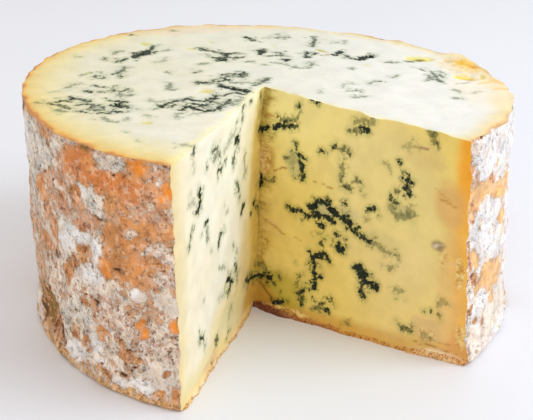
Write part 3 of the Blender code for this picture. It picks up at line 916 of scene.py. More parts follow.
def paintCut(surface, ids, height, spots):
    points = start[ids]
    cut = cuts[surface]
    look = cutLook
    mottle = lumps(points, look["mottle"])
    ragged = 100 - cutOut + lumps(points, look["rimWander"])
    foot = height + lumps(points, look["footWander"])
    thick = np.interp(cutOut, cut["crustAt"], cut["crustThick"]) * (1 + lumps(points, look["crustWander"]))
    # the core colour holds each cut's painted light and painted shade
    colours = np.tile(paste[cut["core"]], (len(ids), 1))
    # painted light: the upper cut face, away from the rind, pales to yellow
    litUpper = smoothStep(*look["upperFrom"], height) * smoothStep(*look["upperFade"], cutOut)
    colours = overlay(colours, paste["glow"], cut["upperPaintedLight"] * litUpper)
    colours = overlay(colours, paste["tan"], np.clip(look["tan"][0] + look["tan"][1] * mottle, 0, 1))
    corner = np.exp(-((cutOut / look["cornerReach"]) ** 2))
    colours = overlay(colours, paste["cornerShade"], cut["cornerShade"] * corner)
    rimYellow = cut["rimYellowShare"] * np.exp(-np.maximum(ragged, 0) / cut["rimYellow"])
    colours = overlay(colours, paste["yellow"], rimYellow)
    rimOrange = look["orange"][0] + look["orange"][1] * smoothStep(*look["orangeHigh"], height)
    rimOrange *= cut["rimOrange"] * smoothStep(*look["orangeFrom"], ragged)
    colours = overlay(colours, paste["orange"], rimOrange)
    glow = smoothStep(cut["footGlowHeight"], look["footGlowFull"], foot - thick)
    colours = overlay(colours, paste["footGlow"], cut["footGlow"] * glow)
    colours = paintSpots(colours, points, cutOut, height, spots)
    tones["tone"][surface, ids] = paintCreases(surface, ids, colours, cutOut, height)
    crust = smoothStep(*look["crustFrom"], foot / thick)
    rimCrust = look["rimCrust"] * smoothStep(*look["rimCrustFrom"], ragged)
    marks["crust"][surface, ids] = np.maximum(crust, rimCrust)
    torn = smoothStep(*look["tornFrom"], cutOut + look["tornWander"] * mottle)
    marks["tear"][surface, ids] = cut["tear"] * torn * smoothStep(*look["tornAbove"], height)
    crumb = np.zeros(len(ids))
    for (x, y), (wide, high), amount in crumbled[surface]:
        away = np.hypot((cutOut - x) / wide, (height - y) / high)
        crumb = np.maximum(crumb, amount * smoothStep(*softEdges["crumbled"], away))
    marks["crumb"][surface, ids] = crumb


paintTop()
paintCut(rightFace, rightFlat, rightZ, rightSpots)
paintCut(leftFace, leftFlat, leftZ, leftSpots)
print("paste painted")

# rind: a brown crust with white mould on it, painted patch over patch

rind = {
    "ground": hue(230, 170, 122),
    "groundBloom": hue(250, 234, 216),
    "groundCover": 0.15,
    "coverWaves": ((0.55, 15.0, 4.4), (0.35, 6.0, 4.4)),
    "warpAcross": ((3.2, 9.0, 21.7), (1.8, 3.8, 21.7)),  # how far the patches' edges wander
    "warpUp": ((3.2, 9.0, 53.1), (1.8, 3.8, 53.1)),
    "degreesInMillimetre": 0.57,
    "patchCover": 0.85,
    "pitted": 0.8,
    "footWander": ((1.5, 7.0, 9.2),),
    "footBand": (4.5, 1.8),
    "footFaintOnRight": 0.3,
    "rightSide": -25,  # degrees
    "footColour": hue(224, 184, 122),
    "footShare": 0.8,
    "footCover": -0.45,
    "rimBand": (2.0, 0.4),
    "rimCover": -0.35,
    "roughness": 0.85,
}

# what a patch paints: mould cover from about -1 to 1, how pitted it is, the crust's colour, the mould's
patchKinds = {
    "white": (0.75, 0.5, None, (255, 251, 246)),
    "snow": (0.8, 0.55, None, (250, 245, 241)),
    "cream": (0.8, 0.3, None, (248, 232, 214)),
    "amber": (-0.95, 0.5, (226, 138, 72), (246, 206, 172)),
    "grey": (0.65, 1.1, (190, 158, 122), (236, 228, 214)),
    "pink": (0.25, 1.0, (222, 170, 134), (250, 230, 212)),
    "orange": (-0.72, 0.5, (226, 152, 88), (244, 212, 186)),
    "bright": (-1.2, 0.1, (252, 150, 44), None),
    "brown": (-0.85, 0.9, (196, 130, 72), None),
    "rose": (-0.22, 0.7, (224, 160, 116), (246, 214, 192)),
    "peach": (-0.90, 0.1, (255, 204, 134), (255, 236, 216)),
    "tan": (-0.9, 1.3, (150, 114, 52), None),
    "speck": (-1.0, 1.2, (96, 60, 36), None),
}

# direction, height, half width in degrees, half height, kind
rindPatches = (
    (194, 84, 7, 9, "grey"), (189, 92, 4, 6, "grey"), (203, 93, 3, 4, "grey"), (186, 70, 4, 10, "grey"),
    (205, 86, 3, 6, "rose"), (203, 79, 4, 3, "rose"), (196, 71, 6, 5, "rose"), (204, 70, 4, 5, "rose"),
    (197, 61, 4, 5, "rose"), (195, 51, 4, 6, "pink"), (212, 68, 5, 4, "rose"), (229, 81, 6, 5, "rose"),
    (212, 90, 6.5, 7, "amber"), (217, 86, 5, 5, "amber"), (225, 88, 7, 5.5, "amber"),
    (210, 76, 1.8, 5, "brown"), (223, 78, 3, 6, "orange"), (227, 72, 5, 4, "orange"),
    (230.5, 78, 4, 2.4, "rose"), (222, 66, 4, 8, "orange"), (227, 65, 3.5, 7, "orange"),
    (233, 72, 2.5, 4, "orange"), (222, 55, 4.5, 8, "orange"), (228.5, 60, 1.6, 3, "pink"),
    (226, 71, 1.8, 1.6, "pink"),
    (227, 55, 4, 6, "orange"), (219, 51.5, 2.5, 4, "bright"), (214, 96.5, 2, 2, "tan"),
    (200, 57, 2, 4, "orange"), (194, 48, 3, 3, "orange"), (192, 69, 4, 3, "orange"),
    (223.5, 95.5, 2.5, 3, "grey"), (229, 95.5, 2, 2.5, "bright"), (233.5, 95, 1.8, 2.5, "pink"),
    (234.5, 87, 2.0, 5.5, "bright"), (215.5, 78.5, 3.5, 3.6, "grey"),
    (216.5, 75, 2.4, 3.5, "grey"), (212, 81, 1.6, 2, "white"), (232, 63, 2.2, 5, "pink"),
    (205, 57, 3, 6, "white"), (210, 61.5, 5, 1.8, "white"), (216, 57, 1.7, 6, "white"),
    (213.5, 46.5, 3.4, 4, "white"), (211, 53.5, 2.3, 4.5, "brown"), (212.5, 57, 0.9, 2, "brown"),
    (208.5, 48, 1.2, 2, "brown"), (203.5, 41, 2.6, 3, "brown"), (206, 44, 1.2, 3, "brown"),
    (226, 44, 1.7, 4.5, "white"), (220, 45, 1.5, 3, "pink"), (233.5, 54, 2.2, 4.5, "pink"),
    (233, 45, 3, 5, "cream"), (197, 36, 6, 6, "pink"), (200, 45, 3, 3, "pink"), (218, 38, 4, 4, "pink"),
    (225, 38, 3, 2, "rose"), (207, 26, 6, 6, "grey"), (228, 25, 5, 5, "pink"), (220, 30, 5, 4, "pink"),
    (212.5, 17, 3.2, 4.5, "white"), (206, 7, 4.5, 4, "white"), (214, 10, 3, 3, "white"),
    (222, 6, 2.5, 3, "white"), (227.5, 7, 3, 3.5, "white"), (232, 14, 4, 7, "cream"),
    (234, 26, 2.5, 8, "pink"), (201, 20, 3, 7, "grey"), (227.5, 31, 1.6, 3, "bright"),
    (234.8, 37, 1.4, 3, "bright"),
    (216.8, 7, 1.8, 2.6, "tan"), (208.8, 14, 1.2, 2.4, "brown"), (205.5, 14.5, 1.3, 1.5, "brown"),
    (190, 16, 7, 10, "tan"), (196, 12, 3, 7, "brown"), (196.5, 18, 1.2, 2, "speck"),
    (198.6, 11.5, 0.9, 3.5, "speck"), (192, 26.5, 1.5, 1.0, "speck"), (197.5, 4.5, 1.5, 1.6, "tan"),
    (215.7, 24, 2.0, 3.2, "brown"), (215.7, 24, 0.9, 1.4, "pink"), (223, 18, 2.0, 2.5, "brown"),
    (226, 16.5, 1.2, 3.2, "brown"), (221.5, 21.5, 1.2, 1.2, "brown"), (234, 94, 0.8, 1.4, "brown"),
    (233.4, 15, 0.9, 0.9, "orange"), (231, 5.5, 1.5, 2, "orange"), (235, 6, 1, 2, "orange"),
    (221.8, 81, 1.0, 1.6, "brown"), (210.5, 35, 0.6, 0.7, "speck"), (210, 32, 1.0, 1.6, "brown"),
    (214.2, 35.3, 0.9, 1.0, "speck"), (223.2, 91, 0.6, 0.7, "speck"), (216.8, 71.6, 1.6, 0.8, "speck"),
    (228.6, 33, 0.45, 1.1, "speck"), (225.8, 69.5, 0.5, 0.6, "speck"), (227, 67.5, 0.4, 0.6, "speck"),
    (226.3, 63.5, 0.6, 0.7, "speck"), (223.3, 52, 0.5, 0.7, "speck"), (201, 75.2, 0.7, 0.8, "speck"),
    (196, 76.5, 1.2, 0.8, "speck"), (222.5, 11, 1.8, 0.6, "speck"), (214.6, 8.3, 0.4, 0.9, "speck"),
    (223, 19.5, 0.8, 0.8, "speck"), (226.3, 18, 0.5, 1.2, "speck"), (225, 13.5, 1.0, 0.5, "speck"),
    (-22, 70, 9, 14, "snow"), (-18, 28, 8, 12, "cream"), (-6, 52, 6, 9, "snow"),
    (-12, 12, 7, 8, "snow"), (-22, 50, 5, 6, "peach"), (-8, 82, 6, 6, "cream"),
    (-41, 50, 17, 60, "snow"), (-48, 86, 6.5, 8, "snow"), (-40, 88, 4, 5, "snow"), (-34, 84, 5, 6, "snow"),
    (-51, 72, 7, 6, "peach"), (-46, 74.5, 1.0, 3.5, "rose"), (-42, 68, 4.5, 4.5, "peach"),
    (-34, 64, 7, 5, "peach"), (-54, 64, 1.8, 4.5, "rose"), (-47, 62, 3.5, 4.5, "snow"),
    (-45, 51, 5.5, 7.5, "snow"), (-37, 47, 4, 7, "cream"), (-37.5, 53, 3, 3.5, "peach"),
    (-47, 33, 8, 8, "peach"), (-55.4, 66, 1.6, 2.5, "peach"), (-55.2, 24, 1.4, 3, "rose"),
    (-38, 29, 6, 8, "peach"), (-53, 34, 2.0, 5, "rose"), (-49.5, 24.5, 3.2, 3, "snow"),
    (-43, 12, 8, 10, "cream"), (-52.5, 7, 3, 5, "cream"), (-33, 12, 5, 9, "cream"),
    (-51.6, 16, 0.9, 2.6, "brown"), (-54.3, 25, 0.7, 1.5, "brown"), (-51.5, 93, 0.7, 0.9, "speck"),
    (-41.5, 81.5, 0.5, 0.7, "speck"), (-50.6, 55, 0.7, 1.4, "speck"), (-54.6, 38.5, 0.8, 1.6, "speck"),
    (-55.6, 80, 0.9, 16, "rose"), (-55.6, 50, 0.8, 14, "rose"), (-47, 90, 0.5, 0.7, "brown"),
    (-53, 80, 1.2, 3, "rose"), (-50, 58, 1.0, 3, "rose"), (-44, 79, 1.0, 2, "peach"),
    (-53.5, 44, 1.4, 4, "peach"), (-40, 56, 1.5, 2.5, "peach"), (-48, 14, 1.0, 2.6, "rose"),
    (-42, 20, 2.5, 2.5, "peach"), (-36, 36, 2, 5, "snow"), (-38, 4, 9, 4, "snow"),
    (-50, 3, 5, 4, "cream"), (232, 59, 1.4, 2.0, "brown"),
    (199.5, 23, 0.7, 2.5, "speck"), (200.2, 7, 0.8, 3, "speck"), (187, 12, 1.6, 3, "speck"),
)

backPatches = {  # the far side of the rind, with patches drawn by chance in the same manner
    "from": -26.0,
    "to": 184.0,
    "seed": 41,
    "counts": {
        "grey": 16, "rose": 22, "orange": 18, "amber": 6, "peach": 8, "white": 34,
        "pink": 20, "brown": 18, "tan": 5, "speck": 70,
    },
    "sizes": {"speck": (0.4, 1.2), "brown": (0.9, 3.0)},
    "usualSize": (2.0, 6.5),
    "upright": (0.8, 1.8),  # a patch's height, in widths
    "heights": (2, 96),
}


def drawBackPatches():
    draw = np.random.default_rng(backPatches["seed"])
    made = []
    for kind, count in backPatches["counts"].items():
        for _ in range(count):
            angle = draw.uniform(backPatches["from"], backPatches["to"])
            size = draw.uniform(*backPatches["sizes"].get(kind, backPatches["usualSize"]))
            high = size * draw.uniform(*backPatches["upright"])
            made.append((angle, draw.uniform(*backPatches["heights"]), size, high, kind))
    return made


def paintRind():
    points = start[rindFlat]
    across = rindAngle + rind["degreesInMillimetre"] * lumps(points, rind["warpAcross"])
    up = rindZ + lumps(points, rind["warpUp"])
    cover = rind["groundCover"] + lumps(points, rind["coverWaves"])
    crust = np.tile(rind["ground"], (len(points), 1))
    mould = np.tile(rind["groundBloom"], (len(points), 1))
    pit = np.zeros(len(points))
    pitted = np.full(len(points), rind["pitted"])
    for angle, height, wide, high, kind in (*drawBackPatches(), *rindPatches):
        amount, pitting, crustColour, mouldColour = patchKinds[kind]
        away = np.hypot((across - angle) / wide, (up - height) / high)
        near = np.nonzero(away < softEdges["patch"][0])[0]
        weight = smoothStep(*softEdges["patch"], away[near])
        cover[near] += (amount - cover[near]) * weight * rind["patchCover"]
        pitted[near] += (pitting - pitted[near]) * weight
        if crustColour:
            crust[near] = overlay(crust[near], hue(*crustColour), weight)
        if mouldColour:
            mould[near] = overlay(mould[near], hue(*mouldColour), weight)
        if kind == "speck":
            pit[near] = np.maximum(pit[near], weight)
    low = smoothStep(*rind["footBand"], up + lumps(points, rind["footWander"]))
    low *= np.where(rindAngle < rind["rightSide"], rind["footFaintOnRight"], 1.0)
    rim = smoothStep(*rind["rimBand"], topHeight(start[rindFlat, :2]) - rindZ)
    cover += rind["footCover"] * low + rind["rimCover"] * rim
    marks["bloom"][rindFace, rindFlat] = cover
    marks["pit"][rindFace, rindFlat] = pit
    marks["pitted"][rindFace, rindFlat] = pitted
    tones["tone"][rindFace, rindFlat] = overlay(crust, rind["footColour"], rind["footShare"] * low)
    tones["bloomTone"][rindFace, rindFlat] = mould
    return cover, pit


rindCover, rindPit = paintRind()
tones["tone"][baseFace] = rind["ground"]
tones["bloomTone"][baseFace] = rind["groundBloom"]
print("rind painted")

# relief: each face moves along its own normal

relief = {
    "rindLumps": ((1.0, 24.0), (0.7, 10.0), (0.5, 5.5)),
    "rindGrain": ((0.38, 3.4), (0.24, 2.0)),
    "footCrumbs": ((0.8, 6.0), (0.7, 3.2)),
    "footCrumbsFrom": (9.0, 1.0),
    "bloomRise": 0.30,
    "bloomFrom": (-0.3, 0.5),
    "pitDepth": 0.9,
    "cutLumps": ((0.4, 12.0), (0.3, 6.0)),
    "cutGrain": ((0.05, 2.4),),
    "topLumps": ((0.3, 16.0), (0.2, 7.0)),
    "topGrain": ((0.05, 2.4),),
    "veinDepth": 0.35,
    "veinFrom": (-0.3, 0.9),
    "pocketDepth": 1.1,  # of the darkest pockets
    "pocketFrom": (0.97, 1.08),
    "rightCrustLip": 2.0,
    "leftCrustLip": 1.4,
    "crustLipStart": 6.0,
    "crustLipHeight": 3.6,
    "crustLipShare": 0.8,
    "crustLipTears": ((0.5, 26.0), (0.4, 6.0), (0.2, 2.4)),
    "crustCrumbs": ((0.8, 4.0), (0.55, 1.8)),
    "crustCrumbsFrom": (1.5, 4.0),  # above the base and out from the tip
    "tearDepth": 0.9,
    "tearSize": 7.0,
    "tearStretch": (1.0, 1.0, 2.6),
    "wornEdge": ((0.6, 9.0), (0.35, 3.0)),
    "wornRimReach": 4.0,
    "wornCutReach": 3.0,
    "wornCutShare": 0.7,
    "edgeWear": 0.4,
    "edgeUneven": ((1.5, 5.0),),
    "cutEdgeReach": 3.0,
    "topEdgeReach": 2.5,
    "cutSag": 0.9,
    "cutSagReach": 5.0,
    "cutSagWander": ((1.0, 11.0, 6.6),),
    "cutSagLevel": 0.2,
    "flapCrumbs": ((1.4, 5.0), (0.98, 2.6)),
    "crumbledTip": 1.1,
    "crumbledTipReach": 10.0,
    "crumb": 6.0,
    "flakeAt": 10.0,
    "flakeHalfWidth": 8.5,
    "flakeRise": 2.3,
    "flakeReach": 10.0,
    "sharpFrom": 55,  # degrees between faces
}

# middle, height, half width, half height, how far it stands out, or in where that is below 0
rindChips = (
    (193.0, 16, 6.5, 12, -2.6),
    (200.5, 18, 1.6, 12, 1.0),
    (216.0, 24, 2.2, 4.0, -1.0),
    (213.0, 54, 3.0, 6.0, -0.8),
    (226.0, 66, 3.5, 9.0, -0.7),
    (-52.0, 16, 2.5, 5.0, -0.9),
    (-40.0, 55, 4.0, 9.0, 1.0),
    (60.0, 30, 5.0, 9.0, -1.4),
    (118.0, 70, 4.0, 10.0, 1.1),
    (155.0, 40, 5.0, 8.0, -1.3),
)
rightCutChips = (
    (56, 95, 9, 7, 1.5), (89, 43, 4, 6, 1.0), (3, 66, 6, 9, -1.6), (40, 49, 12, 6, -0.8),
    (4, 6, 9, 8, -1.2),
)
leftCutChips = ((38, 27, 6, 5, -0.8), (76, 76, 8, 6, -0.6))


def features(across, height, table):
    return sum(
        out * dome(np.hypot((across - middle) / wide, (height - level) / high))
        for middle, level, wide, high, out in table
    )


def shapeRind():
    points = start[rindFlat]
    settle = np.minimum(rindZ / drum["baseRounding"], 1)
    rise = settle * (lumps(points, relief["rindLumps"]) + lumps(points, relief["rindGrain"]))
    rise += settle * lumps(points, relief["footCrumbs"]) * smoothStep(*relief["footCrumbsFrom"], rindZ)
    rise += features(rindAngle, rindZ, rindChips)
    fromRim = topHeight(points) - rindZ
    fromCut = np.minimum(rindAngle - drum["rightCut"], drum["leftCut"] - rindAngle)
    fromCut = np.radians(fromCut) * drum["radius"]
    wornCut = relief["wornCutShare"] * smoothStep(relief["wornCutReach"], 0, fromCut)
    worn = np.maximum(smoothStep(relief["wornRimReach"], 0, fromRim), wornCut)
    rise += settle * worn * lumps(points, relief["wornEdge"])
    rise += settle * relief["bloomRise"] * smoothStep(*relief["bloomFrom"], rindCover)
    rise -= settle * relief["pitDepth"] * rindPit
    turn = np.radians(rindAngle)
    outwards = np.stack([np.cos(turn), np.sin(turn), np.zeros(len(turn))], -1)
    moves[rindFlat] += outwards * rise[:, None]


def veinRelief(depth, dark):
    inside = smoothStep(*relief["veinFrom"], depth)
    pocket = relief["pocketDepth"] * smoothStep(*relief["pocketFrom"], dark)
    return -inside * (relief["veinDepth"] * dark + pocket)


def shapeCut(surface, ids, height, lip, chips, depth, dark):
    points = start[ids]
    tip, edge = points[len(upShares) - 1, :2], points[-1, :2]
    way = (edge - tip) / np.linalg.norm(edge - tip)
    outwards = np.array([way[1], -way[0], 0])
    if outwards[1] > 0:
        outwards = -outwards
    along = np.linalg.norm(points[:, :2] - tipPlace(height), axis=1)
    rise = lumps(points, relief["cutLumps"]) + lumps(points, relief["cutGrain"])
    lipRise = lip * np.maximum(1 - height / relief["crustLipHeight"], 0)
    lipRise *= np.minimum(along / relief["crustLipStart"], 1)
    lipRise *= relief["crustLipShare"] + lumps(points, relief["crustLipTears"])
    crumbs = lumps(points, relief["crustCrumbs"]) * marks["crust"][surface, ids]
    above, out = relief["crustCrumbsFrom"]
    crumbs *= np.minimum(height / above, 1) * np.minimum(along / out, 1)
    broken = relief["crumbledTip"] * dome(along / relief["crumbledTipReach"]) * wave(points, relief["crumb"])
    tears = wave(points * relief["tearStretch"], relief["tearSize"]) * marks["tear"][surface, ids]
    rise += lipRise + crumbs + broken + relief["tearDepth"] * tears
    rise += features(along, height, chips) + veinRelief(depth, dark) - grooves[surface, ids]
    toEdge = np.minimum(topHeight(points) - height, 100 - cutOut)
    worn = smoothStep(relief["cutEdgeReach"], 0, toEdge) * (1 + lumps(points, relief["edgeUneven"]))
    rise -= relief["edgeWear"] * worn
    weight = np.where(cutOut > 0, 1.0, 0.5)  # the column at the tip moves with both cuts
    moves[ids] += outwards * (rise * weight)[:, None]


def shapeTop():
    points = start[topIds]
    inwards = drum["radius"] * (1 - topShare)
    rise = lumps(points, relief["topLumps"]) + lumps(points, relief["topGrain"])
    turned = dome((topAngle - relief["flakeAt"]) / relief["flakeHalfWidth"])
    rise += relief["flakeRise"] * turned * dome(inwards / relief["flakeReach"])
    rise += marks["crumb"][topFace, topIds] * lumps(points, relief["flapCrumbs"])
    rise += veinRelief(topDepth, topDark) - grooves[topFace, topIds]
    edge = np.minimum(topAngle - drum["rightCut"], drum["leftCut"] - topAngle)
    edge = np.minimum(np.radians(edge) * drum["radius"] * topShare, inwards)
    worn = smoothStep(relief["topEdgeReach"], 0, edge) * (1 + lumps(points, relief["edgeUneven"]))
    sag = np.maximum(lumps(points, relief["cutSagWander"]) + relief["cutSagLevel"], 0)
    rise -= relief["edgeWear"] * worn + relief["cutSag"] * smoothStep(relief["cutSagReach"], 0, edge) * sag
    moves[topIds, 2] += rise


shapeRind()
shapeCut(rightFace, rightFlat, rightZ, relief["rightCrustLip"], rightCutChips, rightDepth, rightDark)
shapeCut(leftFace, leftFlat, leftZ, relief["leftCrustLip"], leftCutChips, leftDepth, leftDark)
shapeTop()
print("relief done, deepest move", round(float(np.abs(moves).max()), 2), "mm")


def buildDrum():
    mesh = bpy.data.meshes.new("blueCheeseDrum")
    mesh.from_pydata(((start + moves) / 1000).tolist(), [], faces)
    surfaces = np.array(surfaceOfFace)
    mesh.polygons.foreach_set("material_index", np.isin(surfaces, (rindFace, baseFace)).astype(np.int32))
    corners = np.zeros(len(mesh.loops), np.int32)
    mesh.loops.foreach_get("vertex_index", corners)
    sides = np.zeros(len(mesh.polygons), np.int32)
    mesh.polygons.foreach_get("loop_total", sides)
    cornerSurface = np.repeat(surfaces, sides)
    for name, values in marks.items():
        layer = mesh.attributes.new(name, "FLOAT", "CORNER")
        layer.data.foreach_set("value", values[cornerSurface, corners].astype(np.float32))
    for name, values in tones.items():
        layer = mesh.attributes.new(name, "FLOAT_COLOR", "CORNER")
        colours = np.ones((len(corners), 4), np.float32)
        colours[:, :3] = values[cornerSurface, corners]
        layer.data.foreach_set("color", colours.ravel())
    mesh.polygons.foreach_set("use_smooth", np.ones(len(mesh.polygons), bool))
    mesh.set_sharp_from_angle(angle=math.radians(relief["sharpFrom"]))
    mesh.update()
    thing = bpy.data.objects.new("blueCheeseDrum", mesh)
    bpy.context.collection.objects.link(thing)
    return thing


# materials


def addNode(tree, kind, sockets=None, **settings):
    made = tree.nodes.new(kind)
    for name, value in settings.items():
        setattr(made, name, value)
    for name, value in (sockets or {}).items():
        if isinstance(value, bpy.types.NodeSocket):
            tree.links.new(value, made.inputs[name])
        else:
            made.inputs[name].default_value = value
    return made


def maths(tree, operation, first, second=0.0, third=0.0):
    made = addNode(tree, "ShaderNodeMath", {0: first, 1: second, 2: third}, operation=operation)
    return made.outputs[0]


def summed(tree, first, *terms):
    # the first value, with each of the others added in its own measure
    for value, measure in terms:
        first = maths(tree, "MULTIPLY_ADD", value, measure, first)
    return first


def swing(tree, noise, amount):
    # noise from 0 to 1 made to swing by half the amount either way
    return maths(tree, "MULTIPLY_ADD", noise, amount, -amount / 2)


def grain(tree, size, detail=3.0, rough=0.55, stretch=None):
    # noise from 0 to 1 with lumps of that size in millimetres
    place = addNode(tree, "ShaderNodeTexCoord").outputs["Object"]
    if stretch:
        place = addNode(tree, "ShaderNodeMapping", {"Vector": place, "Scale": stretch}).outputs[0]
    sockets = {"Vector": place, "Scale": 1000 / size, "Detail": detail, "Roughness": rough}
    return addNode(tree, "ShaderNodeTexNoise", sockets).outputs[0]


def span(tree, value, low, high, bottom=0.0, top=1.0):
    sockets = {"Value": value, "From Min": low, "From Max": high, "To Min": bottom, "To Max": top}
    made = addNode(tree, "ShaderNodeMapRange", sockets, interpolation_type="SMOOTHSTEP")
    return made.outputs[0]


def mixed(tree, share, first, second, how="MIX"):
    made = addNode(tree, "ShaderNodeMix", data_type="RGBA", blend_type=how)
    # the node's sockets for colours: 0 is the share, 6 and 7 are the two colours
    for socket, value in zip((made.inputs[0], made.inputs[6], made.inputs[7]), (share, first, second)):
        if isinstance(value, bpy.types.NodeSocket):
            tree.links.new(value, socket)
        elif isinstance(value, (int, float)):
            socket.default_value = value
        else:
            socket.default_value = (*value, 1)
    return made.outputs[2]


def mark(tree, name, socket="Fac"):
    return addNode(tree, "ShaderNodeAttribute", attribute_name=name).outputs[socket]


def addBump(tree, shader, height, strength, distance):
    sockets = {"Height": height, "Strength": strength, "Distance": distance}
    bump = addNode(tree, "ShaderNodeBump", sockets)
    tree.links.new(bump.outputs[0], shader.inputs["Normal"])


def newMaterial(name, roughness):
    material = bpy.data.materials.new(name)
    material.use_nodes = True
    tree = material.node_tree
    shader = tree.nodes["Principled BSDF"]
    shader.inputs["Roughness"].default_value = roughness
    return material, tree, shader


pasteLook = {
    "grains": {  # noise: lump size in millimetres, detail, roughness
        "broad": (9.0, 3.0),
        "loose": (3.4, 3.0, 0.6),
        "lump": (2.2, 5.0, 0.75),
        "fine": (1.3, 4.0, 0.65),
        "grit": (0.5, 2.0),
    },
    "veinEdges": ((3.4, 1.4), (1.3, 1.8), (0.6, 1.8)),  # lump size, how far it swings a vein's edge
    "edgeGrain": (3.0, 0.6),
    "lace": 2.6,  # how far fine grain frays a vein
    "veinFrom": (-0.25, 0.02),
    "veinBlack": hue(26, 36, 22),
    "veinGreen": hue(126, 137, 120),  # times the paste's own colour
    "blackBy": (2.4, 1.8, -0.55),  # how far fine grain, darkness and fraying blacken a vein
    "blackFrom": (1.9, 2.6),
    "darkFrom": (0.1, 0.75, 0.3, 1.0),
    "threadSize": 5.0,  # the fine threads run between curds of this size, in millimetres
    "threadWidth": (0.01, 0.05),
    "threadNoise": 2.4,
    "threadFrom": (-1.7, 0.0),
    "threadShare": 0.9,
    "threadBend": 0.0016,  # metres
    "threadBendSize": 420.0,
    "halo": hue(190, 204, 172),
    "haloFrom": (-2.6, 0.3, 0.0, 0.7),
    "mottleFrom": (0.35, 0.65, 0.93, 1.0),
    "tearShade": hue(216, 186, 116),
    "tearGrain": (7.0, 4.0, 0.6, (1.0, 1.0, 3.0)),
    "tearWidth": (0.01, 0.05),
    "tearShare": 0.55,
    "crumbPale": hue(248, 222, 146),
    "crumbDeep": hue(204, 146, 58),
    "crumbPaleFrom": (0.42, 0.56),
    "crumbNoise": 0.9,
    "crumbFrom": (0.75, 1.25, 0.0, 0.8),
    "crustBrown": hue(158, 102, 64),
    "crustTan": hue(248, 218, 170),
    "crustTanFrom": (0.38, 0.54),
    "crustPale": hue(252, 234, 204),
    "crustPaleFrom": (0.50, 0.57),
    "crustTone": 0.93,  # how far the crust takes the tone painted under it
    "crustFrom": (0.92, 1.08),
    "bump": 0.35,
    "bumpHeight": 0.001,
    "bumps": {"vein": -0.45, "fine": 0.35, "grit": 0.12, "tear": -0.8, "rough": 2.5},
}


def curdEdges(tree):
    # the distance from the bent cracks between the curds, as a share of a curd's size
    place = addNode(tree, "ShaderNodeTexCoord").outputs["Object"]
    sockets = {"Vector": place, "Scale": pasteLook["threadBendSize"], "Detail": 3.0}
    bend = addNode(tree, "ShaderNodeTexNoise", sockets)
    sockets = {0: bend.outputs[1], 1: (0.5, 0.5, 0.5)}  # so that it bends to either side
    bend = addNode(tree, "ShaderNodeVectorMath", sockets, operation="SUBTRACT").outputs[0]
    sockets = {0: bend, 1: (pasteLook["threadBend"] * 2,) * 3, 2: place}
    bent = addNode(tree, "ShaderNodeVectorMath", sockets, operation="MULTIPLY_ADD").outputs[0]
    sockets = {"Vector": bent, "Scale": 1000 / pasteLook["threadSize"]}
    return addNode(tree, "ShaderNodeTexVoronoi", sockets, feature="DISTANCE_TO_EDGE").outputs[0]


